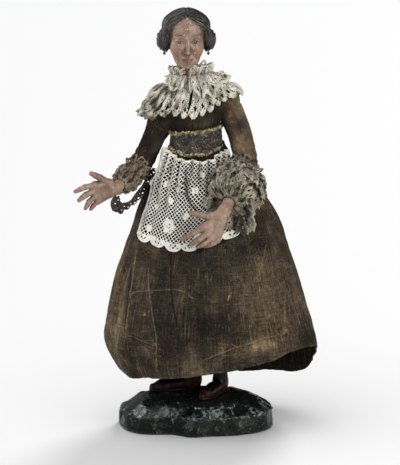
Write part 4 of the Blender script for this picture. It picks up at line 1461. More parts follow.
def build_right_flounce():
    """a loose length of lace caught at both ends, which hangs in a loop under the wrist"""
    W, L, tab = 10.5, 62.0, 6.2
    seed = 100
    U, V = turned_grid(-1, L + 1, -1, W + 1, 0.46)
    X = U + 1.2 * noise3(U / 9.0, 1.0, seed=seed + 8)
    edge = tab_edge(X, W - 0.5 + 0.8 * noise3(U / 9.0, 3.0, seed=seed + 9), tab, 2.2, 0.5, 1.7)
    F = net(U, V, 1.5, 0.5)
    work = np.maximum(V - (edge - 3.4), 1.6 - V)
    F = np.maximum(F, np.minimum(np.maximum(work, 1.5 - np.abs(V - 4.6 - 0.8 * np.sin(X))), 1.0))
    holes = np.minimum(eyelets(X, V, tab, W - 3.3, 0.85, 1.1), eyelets(X, V, tab, 4.6, 0.6, 0.6, 0.5))
    F = np.minimum(F, holes)
    F = np.minimum(F, np.minimum(np.minimum(edge - V, V), np.minimum(U, L - U)))
    puff = 0.85 + 0.7 * np.exp(-(((holes - 0.4) / 0.35) ** 2))
    # along the middle of the loop: u, v in the photograph, depth, half its width there
    path = np.array([[153.0, 168, 1.5, 4.2], [150.5, 178, 0.5, 4.2], [146.5, 187, -3, 3.9], [140, 194.5, -8, 3.5], [132, 203.8, -14, 3.0], [125, 207.0, -18, 3.6], [119.3, 208.5, -21.5, 5.4], [116.5, 203, -24, 4.6], [118.5, 196, -25.5, 3.2]])
    fine = spline(path, 80)
    C = from_photo(fine[:, 0], fine[:, 1], fine[:, 2])
    run = np.concatenate([[0], np.cumsum(np.linalg.norm(np.diff(C, axis=0), axis=1))])
    tan = unit(np.gradient(C, axis=0))
    out = unit(np.cross(tan, np.array([0.25, -0.95, 0.1])))
    out = out * np.sign((out * np.array([0.5, 0, -1.0])).sum(-1))[:, None]

    def place(u, v):
        k = np.clip(u / L, 0, 1) * run[-1]
        at = lambda A: np.stack([np.interp(k, run, A[:, i]) for i in range(3)], -1)
        c, o, tn = at(C), unit(at(out)), unit(at(tan))
        n = unit(np.cross(o, tn))
        half = np.interp(k, run, fine[:, 3])
        w = (v / W * 2 - 1) * half
        lift = (1.1 * np.cos(2 * PI * (u / 7.5 + 0.3 * noise3(u / 12, 1.0, seed=seed))) * (0.3 + 0.7 * v / W) + 0.8 * noise3(u / 4.5, v / 4.5, seed=seed + 1))
        return clear_of_skirt(c + o * w[:, None] + n * lift[:, None], 1.2)

    def shade(u, v, P):
        return 0.35 + 0.45 * fbm(u / 4, v / 4, seed=seed + 2) - 0.3 * np.cos(2 * PI * u / 7.5) - 0.35 * smooth(46, 52, u)

    lace_piece("right_lace_flounce", U, V, F, place, 0.8, 0.4, DUSKY, ["right_cuff_flounce"], (L, W), puff, shade)


def build_left_flounce():
    """the wide fall of the left cuff: close over the wrist, deep at both sides and below"""
    end, way, up, across = arm_frame(ARMS["left"])
    W, L, tab = 23.0, 150.0, 7.6
    seed = 105
    U, V = turned_grid(-1, L + 1, -1, W + 1, 0.62)
    X = U + 1.8 * noise3(U / 11.0, 1.0, seed=seed + 8)
    edge = tab_edge(X, W - 0.8 + 1.2 * noise3(U / 11.0, 3.0, seed=seed + 9), tab, 2.8, 0.6, 1.9)
    F = net(U, V, 1.86, 0.48)
    band = np.maximum(V - (edge - 2.8), 1.6 - V)
    flower = 2.8 - np.hypot(X - np.round(X / tab) * tab, V - (W - 8.5))
    work = 1.3 - np.abs(V - 9.0 - 1.8 * np.cos(2 * PI * X / 10.0))
    F = np.maximum(F, np.minimum(np.maximum(np.maximum(band, flower), work), 1.0))
    holes = np.minimum(eyelets(X, V, tab, W - 4.8, 0.9, 1.15), eyelets(X, V, tab, W - 8.5, 0.7, 0.8, 0.5))
    holes = np.minimum(holes, eyelets(X, V, 5.1, W - 12.5, 0.6, 0.9, 0.2))
    F = np.minimum(F, holes)
    F = np.minimum(F, np.minimum(np.minimum(edge - V, V), np.minimum(U, L - U)))
    puff = 0.85 + 0.7 * np.exp(-(((holes - 0.4) / 0.35) ** 2))
    deg = [0, 45, 90, 135, 180, 225, 270, 315, 360]
    wide = np.stack([deg, [9.0, 13.0, 20.0, 17, 14.5, 18, 21.5, 14.5, 9.0]], 1)
    hang = np.stack([deg, [0.0, 2.5, 7.0, 10.0, 13.5, 17.5, 15.0, 5.0, 0.0]], 1)
    far = np.stack([deg, [8.0, 8.5, 14.0, 12.5, 11.5, 11.5, 10.0, 7.5, 8.0]], 1)

    def folds(u, v):
        t = v / W
        a = np.radians(mixv(62, 298, np.clip(u / L, 0, 1)))
        ph = 13 * a + 2.2 * noise3(a * 1.9, 3.0, seed=seed)
        crest = 0.7 * ridged(a * 3.2, t * 1.6, 1.0, seed + 6) + 0.5 * ridged(a * 6.5, t * 4.0, 4.0, seed + 7)
        return t, a, ph, crest

    def place(u, v):
        t, a, ph, crest = folds(u, v)
        tc = np.clip(t, 0, 1)
        d = np.degrees(a) % 360.0
        along = 24.0 + t * through(far, d) + 1.4 * t * np.sin(ph + 0.9)
        r = mixv(13.0 + 4.0 * np.maximum(0, -np.cos(np.radians(d))) , through(wide, d), tc**0.8) + smooth(0, 0.7, t) * (1.5 * np.cos(ph) + 2.0 * crest + 0.9 * noise3(u / 4, v / 4, seed=seed + 1)) * mixv(0.55, 1.0, smooth(60, 90, np.minimum(d, 360 - d)))
        aa = a + 0.08 * t * np.sin(ph)
        r = np.maximum(r, 7.4)
        P = end + way * along[:, None] + up * (np.cos(aa) * r)[:, None] + across * (np.sin(aa) * r)[:, None] - np.array([0, 0, 1.0]) * (through(hang, d) * tc**1.3)[:, None]
        return clear_of_skirt(P, 3.4)

    def shade(u, v, P):
        t, a, ph, crest = folds(u, v)
        d = np.degrees(a) % 360.0
        under = smooth(110, 150, d) * smooth(235, 200, d)
        return 0.28 + 0.4 * fbm(u / 6, v / 6, seed=seed + 2) - 0.22 * np.cos(ph) * t - 0.6 * crest + 0.3 * smooth(0.4, 0, t) + 0.4 * under

    lace_piece("left_lace_flounce", U, V, F, place, 0.85, 0.42, BEIGE, ["left_cuff_flounce"], (L, W), puff, shade)


def cuff_ruffle(name, side, start, W, L, degs, stand, tab, seed, mat, push=0.8):
    """a gathered strip with a scalloped edge, laid round the cuff over its folds"""
    c, arm = CUFFS[side], ARMS[side]
    end, way, up, across = arm_frame(arm)
    prof = np.array(c["prof"], float)
    U, V = turned_grid(-1, L + 1, -1, W + 1, 0.55)
    X = U + 1.6 * noise3(U / 9.0, 1.0, seed=seed + 8)
    edge = tab_edge(X, W - 0.6 + 0.9 * noise3(U / 9.0, 3.0, seed=seed + 9), tab, 2.4, 0.55, 1.8)
    F = net(U, V, 1.65, 0.45)
    band = np.maximum(V - (edge - 2.6), 1.6 - V)
    F = np.maximum(F, np.minimum(np.maximum(band, 1.2 - np.abs(V - 0.5 * W - 0.8 * np.sin(X))), 1.0))
    holes = np.minimum(eyelets(X, V, tab, W - 3.6, 0.8, 1.05), eyelets(X, V, tab, 0.5 * W, 0.6, 0.7, 0.5))
    F = np.minimum(F, holes)
    F = np.minimum(F, np.minimum(np.minimum(edge - V, V), np.minimum(U, L - U)))
    puff = 0.85 + 0.7 * np.exp(-(((holes - 0.4) / 0.35) ** 2))

    def folds(u, v):
        t = v / W
        a = np.radians(mixv(degs[0], degs[1], u / L))
        ph = 2 * PI * (u / 8.0 + 0.6 * noise3(u / 13.0, 1.0, seed=seed))
        crest = 0.6 * ridged(u / 5.0, t * 1.5, 1.0, seed + 6) + 0.5 * noise3(u / 3.0, v / 3.0, seed=seed + 1)
        return t, a, ph, crest

    def place(u, v):
        t, a, ph, crest = folds(u, v)
        tc = np.clip(t, 0, 1)
        along = start + 1.8 * noise3(a * 1.4, 6.0, seed=seed + 3) + W * push * t + 1.1 * t * np.sin(ph + 0.8)
        r = through(np.stack([prof[:, 0], prof[:, 1]], 1), np.clip(along, prof[0, 0], prof[-1, 0]))
        body = smooth(1.0, 6.0, along) * smooth(36, 27, along)
        r = r + (c["swell"] * (0.5 + 0.5 * np.sin(a) * c["outward"]) + c["inner"] * np.maximum(0, -np.sin(a) * c["outward"])) * body
        r = r + 1.0 + stand * tc**0.7 + smooth(0, 0.6, t) * (1.3 * np.cos(ph) + 1.3 * crest)
        sag = -2.6 * (0.5 - 0.5 * np.cos(a)) * body - 1.2 * tc
        P = end + way * along[:, None] + up * (np.cos(a) * r)[:, None] + across * (np.sin(a) * r)[:, None] + np.array([0, 0, 1.0]) * sag[:, None]
        return clear_of_skirt(P, 3.4)

    def shade(u, v, P):
        t, a, ph, crest = folds(u, v)
        return 0.32 + 0.4 * fbm(u / 5, v / 5, seed=seed + 2) - 0.3 * np.cos(ph) * t - 0.55 * crest + 0.65 * smooth(0.55, 0, t) - 0.3 * smooth(0.75, 1.0, t)

    lace_piece(name, U, V, F, place, 0.85, 0.42, mat, [side + "_cuff"], (L, W), puff, shade)


build_cuff("right")
build_right_flounce()
build_cuff("left")
cuff_ruffle("left_cuff_upper_ruffle", "left", 1.5, 11.0, 150.0, (-205, 150), 2.2, 6.8, 140, BEIGE)
cuff_ruffle("left_cuff_lower_ruffle", "left", 12.5, 12.0, 165.0, (-215, 145), 1.8, 7.2, 150, BEIGE)
cuff_ruffle("left_cuff_last_ruffle", "left", 21.5, 11.0, 120.0, (-120, 130), 0.8, 6.6, 160, BEIGE, 0.85)
build_left_flounce()


# ------------------------------------------------------------------ head
def flesh_material(name, base, light, dark, rosy):
    m = Mat(name, roughness=0.5, specular=0.45, Coat_Weight=0.12, Coat_Roughness=0.35)
    place = m.place()
    big = m.noise(place, 60.0, 4.0, 0.6)
    small = m.noise(place, 420.0, 3.0, 0.65)
    col = m.ramp(big, [(0.3, base), (0.68, light)])
    col = m.mix(m.math("MULTIPLY", m.step(small, 0.52, 0.34), 0.35), col, dark)
    col = m.mix(m.math("MULTIPLY", m.attr("rosy"), 0.75, clamp=True), col, rosy)
    # grime in the hollows
    col = m.mix(m.math("MULTIPLY", m.attr("grime"), 0.8, clamp=True), col, dark)
    # old crackle in the paint, and places where it is rubbed down to the wood
    crack = m.step(m.cells(m.scaled(place, (1, 1, 0.75)), 520.0, "DISTANCE_TO_EDGE"), 0.045, 0.0)
    crack = m.math("MULTIPLY", crack, m.step(big, 0.4, 0.6))
    col = m.mix(m.math("MULTIPLY", crack, 0.4), col, dark)
    rub = m.math("MULTIPLY", m.attr("rub"), m.step(m.noise(place, 330.0, 4.0, 0.7), 0.46, 0.58), clamp=True)
    col = m.mix(m.math("MULTIPLY", rub, 0.85), col, rgb(104, 72, 48))
    m.flesh = col
    m.relief = m.math("ADD", m.math("MULTIPLY", crack, -0.6), m.math("MULTIPLY", small, 0.8))
    m.worn = rub
    return m


def head_material():
    m = flesh_material("painted_head", rgb(110, 84, 68), rgb(168, 142, 123), rgb(56, 38, 28), rgb(144, 78, 66))
    place = m.place()
    col = m.flesh
    col = m.mix(m.math("MULTIPLY", m.attr("lips"), 0.8, clamp=True), col, rgb(112, 54, 46))
    col = m.mix(m.math("MULTIPLY", m.attr("brow"), 0.8, clamp=True), col, rgb(54, 36, 26))
    # eyes: dull white, brown iris, dark pupil, small light
    eye = m.attr("eye")
    white = m.mix(m.step(m.noise(place, 300.0), 0.4, 0.7), rgb(140, 130, 114), rgb(102, 90, 76))

    def near(point, r, soft):
        d = m.node("ShaderNodeVectorMath", {0: place}, operation="DISTANCE")
        d.inputs[1].default_value = [c * MM for c in point]
        return m.step(d.outputs["Value"], (r + soft) * MM, (r - soft) * MM)

    looks = white
    for c in EYES:
        looks = m.mix(near(c, 1.72, 0.12), looks, rgb(36, 22, 14))
        looks = m.mix(near(c, 1.46, 0.14), looks, rgb(56, 37, 24))
        looks = m.mix(near(c, 0.82, 0.1), looks, rgb(10, 8, 7))
        looks = m.mix(near((c[0] - 0.5, c[1], c[2] + 0.55), 0.24, 0.08), looks, rgb(230, 226, 216))
    col = m.mix(eye, col, looks)
    col = m.mix(m.math("MULTIPLY", m.attr("liner"), 0.85, clamp=True), col, rgb(46, 28, 20))
    # hair: dark brown paint, rubbed grey-brown on the ridges
    hair = m.attr("hair")
    hn = m.noise(place, 120.0, 4.0, 0.65)
    fine = m.noise(place, 700.0, 3.0, 0.7)
    dark = m.ramp(hn, [(0.3, rgb(13, 9, 8)), (0.7, rgb(31, 24, 21))])
    turns = m.math("ADD", m.attr("strand"), m.math("MULTIPLY", hn, 0.35))
    lines = m.math("MULTIPLY", m.attr("ridge"), 0.5)
    for times, share, shift in ((1.0, 0.22, 0.0), (2.4, 0.3, 1.3), (5.3, 0.3, 2.1)):
        wave = m.math("SINE", m.math("ADD", m.math("MULTIPLY", turns, 2 * PI * times), shift))
        lines = m.math("ADD", lines, m.math("MULTIPLY", wave, share))
    lines = m.math("ADD", lines, m.math("MULTIPLY", m.math("SUBTRACT", fine, 0.5), 1.1))
    patch = m.step(m.noise(place, 75.0, 3.0, 0.6), 0.34, 0.56)
    worn = m.math("MULTIPLY", m.step(lines, 0.62, 1.1), m.math("ADD", m.math("MULTIPLY", patch, 0.7), 0.3), clamp=True)
    dark = m.mix(m.math("MULTIPLY", worn, 0.56), dark, rgb(124, 113, 104))
    dark = m.mix(m.math("MULTIPLY", m.step(fine, 0.64, 0.76), 0.25), dark, rgb(88, 72, 60))
    flakes = m.math("MULTIPLY", m.step(m.noise(place, 460.0, 2.0, 0.6), 0.6, 0.67), m.attr("flake"), clamp=True)
    col = m.mix(m.math("MULTIPLY", flakes, 0.7), col, rgb(206, 188, 166))
    col = m.mix(hair, col, dark)
    m.color(col)
    m.rough(m.mix(hair, m.mix(eye, m.ramp(m.noise(place, 200.0), [(0.3, 0.42), (0.7, 0.62)]), (0.22, 0.22, 0.22, 1)), (0.5, 0.5, 0.5, 1)))
    m.normal(m.bump(m.relief, 0.35, 0.00022))
    return m.mat


HEAD_YAW = 4.0
HEAD_O = np.array([HEAD["x"], HEAD["y"], 323.0])
HEAD_R = turn_matrix(yaw=HEAD_YAW, pitch=0, roll=0)
EYE_C = np.array([6.5, -12.2, 0.2])
EYES = [tuple(HEAD_O + HEAD_R @ (np.array([sx * EYE_C[0] + 0.15, EYE_C[1] - 3.75, EYE_C[2] - 0.15]))) for sx in (-1, 1)]


def lid_line(x):
    """height of the upper and lower lid over the middle of the eye, at x from -3.4 (inner) to 3.4"""
    k = np.clip(x / 3.35, -1, 1)
    up = 1.35 * (1 - np.abs(k) ** 2.2) + 0.12 * k
    lo = -0.95 * (1 - np.abs(k) ** 2.4) + 0.12 * k
    return up, lo


def head_fields(p):
    q = (p - HEAD_O) @ HEAD_R
    x, y, z = q.T
    m = np.stack([np.abs(x), y, z], -1)
    # face
    d = d_ellipsoid(m, (0, 3.0, 5.0), (15.9, 18.8, 17.4))
    d = smin(d, d_ellipsoid(m, (0, -3.8, -3.6), (13.1, 13.0, 18.6)), 4.5)
    d = smin(d, d_ellipsoid(m, (0, -6.4, 9.5), (12.4, 10.9, 8.8)), 4.0)
    d = smin(d, d_ball(m, (7.4, -9.0, -6.0), 5.7), 4.0)
    d = smin(d, d_ellipsoid(m, (0, -8.2, -15.8), (8.9, 7.9, 6.0)), 4.5)
    d = smin(d, d_ball(m, (0, -13.6, -18.9), 3.3), 3.2)
    d = smin(d, d_ellipsoid(m, (0, -12.0, -13.4), (6.2, 5.1, 4.6)), 3.2)
    # brow, sockets, nose
    d = smin(d, d_cone(m, (2.6, -15.2, 4.4), (9.4, -12.8, 4.6), 1.5, 1.2), 2.6)
    d = smax(d, -d_ellipsoid(m, (6.7, -19.4, 0.4), (4.5, 4.6, 3.4)), 2.2)
    d = smax(d, -d_ball(m, (3.0, -19.4, 0.6), 2.7), 1.8)
    nose = d_cone(m, (0, -14.6, 3.8), (0, -18.6, -5.6), 1.35, 1.5)
    nose = smin(nose, d_ball(m, (0, -19.3, -7.7), 1.85), 1.2)
    nose = smin(nose, d_ellipsoid(m, (2.25, -17.2, -8.4), (1.35, 1.9, 1.3)), 0.9)
    nose = smin(nose, d_cone(m, (0, -15.0, -6.0), (1.8, -14.8, -8.6), 1.8, 1.6), 1.2)
    d = smin(d, nose, 1.5)
    d = smax(d, -d_ellipsoid(m, (1.15, -18.6, -9.75), (0.55, 0.95, 0.5)), 0.35)
    # mouth
    up = smin(d_cone(m, (0.9, -17.25, -12.85), (4.5, -15.4, -13.75), 0.85, 0.35), d_ball(m, (0, -17.2, -13.1), 0.75), 0.6)
    lo = d_cone(m, (0, -16.75, -15.25), (3.4, -15.7, -14.75), 1.1, 0.5)
    d = smin(d, up, 0.9)
    d = smin(d, lo, 0.9)
    line = np.minimum(d_cone(m, (0, -18.2, -14.05), (1.6, -17.9, -13.9), 0.28, 0.28), d_cone(m, (1.6, -17.9, -13.9), (5.0, -15.5, -14.15), 0.28, 0.24))
    d = smax(d, -line, 0.45)
    d = smax(d, -d_ellipsoid(m, (0, -18.0, -11.3), (0.7, 0.7, 1.2)), 0.6)
    d = smax(d, -d_ellipsoid(m, (0, -17.9, -17.0), (2.6, 1.1, 0.8)), 1.0)
    # eyes and lids
    ball = d_ball(m, EYE_C, 3.85)
    ex = m[:, 0] - EYE_C[0]
    ez = z - EYE_C[2]
    upl, lol = lid_line(ex)
    slot = np.maximum(np.maximum(ez - upl, lol - ez), np.abs(ex) - 3.3)
    lid = smax(d_ball(m, EYE_C, 4.4), -slot, 0.25)
    lid = np.maximum(lid, y + 8.0)
    crease = np.abs(d_ellipsoid(m, (EYE_C[0], EYE_C[1] - 3.0, EYE_C[2] + 0.1), (4.2, 3.0, 2.75))) - 0.1
    d = smin(d, lid, 0.7)
    eye_open = smax(np.maximum(d, -slot * 1.0 - 0.0), -1e3 + 0 * d, 0.1)
    d_open = np.maximum(d, -np.maximum(slot, d_ball(m, (EYE_C[0], EYE_C[1] - 1.0, EYE_C[2]), 6.0)))
    d = np.minimum(d_open, ball)
    is_eye = (ball < d_open + 0.04) & (np.abs(ex) < 3.6) & (np.abs(ez) < 2.2) & (y < -10)
    # ear lobes under the rolls of hair
    d = smin(d, d_ellipsoid(m, (16.4, 0.6, -7.2), (1.6, 2.4, 3.4)), 1.2)
    # neck
    a, b, c = [(np.array(v) - HEAD_O) @ HEAD_R for v in ((HEAD["x"] + 1.8, 0.6, 289.5), (HEAD["x"] + 1.0, -0.2, 298.0), (HEAD["x"], 0.6, 314.0))]
    neck = np.minimum(d_cone(q, a, b, 10.0, 8.7), d_cone(q, b, c, 8.7, 8.6))
    d = smin(d, neck, 3.0)
    # hair: a full dome, a roll over each ear, a knot behind, and an open window for the face
    wide = q.copy()
    wide[:, 0] = x / (1 + 0.1 * bump1(z, 16.5, 7.0))
    h = d_ellipsoid(wide, (0, 3.6, 6.6), (19.4, 19.2, 19.0))
    h = smin(h, d_ellipsoid(m, (14.8, -7.6, 8.4), (4.4, 4.2, 6.0)), 2.4)
    h = smin(h, d_ellipsoid(q, (0, 18.6, -5.0), (13.0, 6.4, 7.2)), 3.0)
    win = smax((m[:, 0] - 14.3 - 0.1 * np.maximum(0, -z)) * 0.9, (z - (20.8 - 0.84 * m[:, 0] + 0.6 * np.sin(0.9 * m[:, 0] + 0.8 * np.sign(x)))) * 0.78, 3.5) + 9.0 * smooth(-8.0, 4.0, y) ** 2
    h = smax(h, d - (1.3 + 0.55 * np.maximum(win, 0) + 0.12 * np.maximum(win, 0) ** 2), 0.8)
    h = smin(h, d_ellipsoid(m, (17.9, 0.2, -0.2), (6.8, 8.6, 9.2)), 2.0)
    win = np.where(y < 4, win, np.maximum(win, 3.0))
    h = smax(h, -win, 1.1)
    low = smooth(-9.5, -12.5, z)
    h = np.maximum(h, (-11.5 - z) * 0.8)
    return q, d, h, is_eye, slot, m


def hair_flow(q):
    """phase of the carved strands: down and out from the parting, then round in the rolls"""
    x, y, z = q.T
    ax = np.abs(x)
    ang = np.arctan2(z + 0.55 * ax - 1.0, -(y - 2.5))
    wavy = 0.03 * np.sin(ax * 0.75 + 1.4 * ang) + 0.05 * noise3(x / 6, y / 6, z / 6, seed=111)
    dome = (ang + wavy) * 44.0
    rho = np.hypot((ax - 10.5) / 8.0, (z - 3.5) / 13.0) * 9.0 + 0.7 * noise3(x / 5, y / 5, z / 5, seed=117) + 0.25 * np.sin(z * 0.8)
    roll = 26.0 + rho * 2 * PI / 2.1
    return mixv(dome, roll, smooth(12.5, 16.0, ax) * smooth(12.5, 8.5, z))


def build_head():
    def func(p):
        q, d, h, _, _, _ = head_fields(p)
        full = smin(d, h, 0.5)
        return smax(full, 289.3 - p[:, 2], 0.4)

    c = HEAD_O
    p, q4 = sdf_mesh(func, (c[0] - 27, c[1] - 22.5, 288.4), (c[0] + 27, c[1] + 28, 350.5), 0.48)
    p, q4, _ = keep_largest(p, q4)
    _, n = sdf_normal(func, p, 0.3)
    q, d, h, is_eye, slot, m = head_fields(p)
    hair = smooth(0.25, -0.15, h - d)
    x, y, z = q.T
    back = smooth(9, 14, y) * smooth(4, -2, z)
    ph = hair_flow(q)
    ph_back = (x * 0.9 + 1.2 * np.sin(z * 0.35)) * 2.1
    wave1 = np.cos(np.where(back > 0.5, ph_back, ph))
    strands = 0.5 + 0.5 * wave1
    fine = 0.5 + 0.5 * np.cos(np.where(back > 0.5, ph_back, ph) * 2.4 + 1.3 * noise3(x / 3, y / 3, z / 3, seed=112))
    part = bump1(x, 0.0, 0.7) * smooth(0, 6, z) * (y < 16)
    disp = hair * (-0.6 * (1 - strands) ** 1.4 - 0.25 * (1 - fine) - 0.6 * part + 0.2)
    disp = disp * smooth(0.0, 0.5, hair)
    skin = 1 - hair
    disp = disp + skin * (0.05 * fbm(x / 1.5, y / 1.5, z / 1.5, seed=113, octaves=2)) * (~is_eye)
    p2 = p + n * disp[:, None]
    ax = np.abs(x)
    lips = smooth(1.0, 0.8, np.hypot(x / 5.0, (z + 14.2) / np.where(z > -14.1, 1.75, 2.0))) * (y < -13) * skin
    rosy = (0.8 * np.exp(-((np.hypot(ax - 8.6, z + 7.4) / 4.3) ** 2)) + 0.3 * np.exp(-((np.hypot(x, z + 18.5) / 3.0) ** 2)) + 0.25 * np.exp(-((np.hypot(x, z + 8.0) / 2.2) ** 2)) + 0.2 * smooth(-20, -26, z)) * (y < 2)
    bz = 4.9 + 1.25 * (1 - ((ax - 7.6) / 5.4) ** 2)
    brow = np.exp(-(((z - bz) / (0.62 - 0.3 * smooth(7, 12, ax))) ** 2)) * smooth(2.1, 3.2, ax) * smooth(12.6, 11.0, ax) * skin * (y < -6)
    liner = np.exp(-((slot / 0.3) ** 2)) * (z > EYE_C[2] - 0.4) * (np.abs(ax - EYE_C[0]) < 3.9) * (y < -10)
    liner = np.maximum(liner, 0.45 * np.exp(-((slot / 0.25) ** 2)) * (y < -10))
    liner = np.maximum(liner, 0.9 * smooth(0.45, 0.1, np.abs(z + 14.02 - 0.13 * np.exp(-((x / 1.2) ** 2)))) * smooth(5.2, 4.4, ax) * (y < -14) * 0.8)
    grime = 0.4 * smooth(0.0, 0.5, fbm(x / 6, y / 6, z / 6, seed=114)) + 0.5 * np.exp(-((np.hypot(ax - 6.6, z - 3.0) / 2.4) ** 2)) * (y < -8) * 0.4
    grime = grime + 0.8 * np.exp(-((np.maximum(h - d, 0) / 1.0) ** 2)) * skin + 0.35 * np.exp(-((np.hypot(ax - 3.0, z + 7.5) / 1.2) ** 2))
    hollow = np.clip((1.0 - func(p + n * 1.0)) / 0.7, 0, 1) * 0.7 + np.clip((2.8 - func(p + n * 2.8)) / 2.2, 0, 1) * 0.75
    grime = grime + hollow * (1.05 + 0.35 * fbm(x / 2.5, y / 2.5, z / 2.5, seed=119))
    rub = 0.8 * smooth(0.05, 0.5, noise3(x / 4.2, y / 4.2, z / 5.5, seed=115)) * smooth(4, 8, z) + 0.3 * smooth(0.35, 0.7, noise3(x / 3.2, y / 3.2, z / 3.2, seed=116))
    rub = rub + 0.6 * np.exp(-(((x + 1.0) / 1.3) ** 2)) * smooth(5, 8, z) * smooth(14, 11, z)
    ridge = hair * (strands * 0.75 + fine * 0.25)
    keepm = lambda a: np.clip(a, 0, 1)
    attrs = dict(hair=hair, eye=is_eye.astype(float), lips=keepm(lips), rosy=keepm(rosy * skin), brow=keepm(brow), liner=keepm(liner), grime=keepm(grime * skin), rub=keepm(rub * skin * (~is_eye)), ridge=keepm(ridge), strand=np.where(back > 0.5, ph_back, ph) / (2 * PI), flake=keepm(skin * (~is_eye) * (0.25 + smooth(3, 9, z) + 0.5 * smooth(0.0, 0.5, noise3(x / 5, y / 5, z / 5, seed=118)))))
    o = make_mesh("carved_head", p2, [q4], head_material(), attrs, ["head_with_neck"])
    print("head triangles", 2 * len(q4))
    return o


build_head()


# ------------------------------------------------------------------ hands
HANDS = dict(
    right=dict(thumb=[[-71.4, -33, 209.5], [-78.8, -38, 215.2], [-87, -42, 220], 3.2], index=[[-82.9, -38, 209], [-91, -43, 208.2], [-99.8, -46, 204.6], 2.7], middle=[[-83.7, -38.5, 204.4], [-90, -43.5, 202], [-96.8, -47, 197.2], 2.8], ring=[[-82.9, -37.5, 199.6], [-87.6, -42.5, 196], [-90.8, -47, 190.4], 2.6], little=[[-80.5, -35.5, 195.2], [-84, -39.5, 192.4], [-86.8, -42, 188.8], 2.3]),
    left=dict(thumb=[[19.5, -53.5, 187.95], [7.4, -57.5, 187.45], [-6.2, -59, 190.55], 3.2], index=[[4.9, -59.5, 178.15], [-4.1, -62, 173.65], [-13.5, -61, 167.95], 2.7], middle=[[7.8, -59, 172.95], [0.9, -62.3, 168.5], [-6.2, -62.2, 164.0], 2.8], ring=[[11.8, -57.3, 168.95], [5.3, -60.5, 165.1], [-0.9, -60.6, 161.9], 2.6], little=[[16.4, -55.1, 167], [11.4, -57.6, 164], [5.6, -57.4, 161.8], 2.3]),
)
HAND_PAINT = flesh_material("painted_hands", rgb(106, 85, 69), rgb(166, 141, 121), rgb(54, 40, 31), rgb(138, 88, 72))
HAND_PAINT.color(HAND_PAINT.flesh)
HAND_PAINT.normal(HAND_PAINT.bump(HAND_PAINT.relief, 0.45, 0.0003))


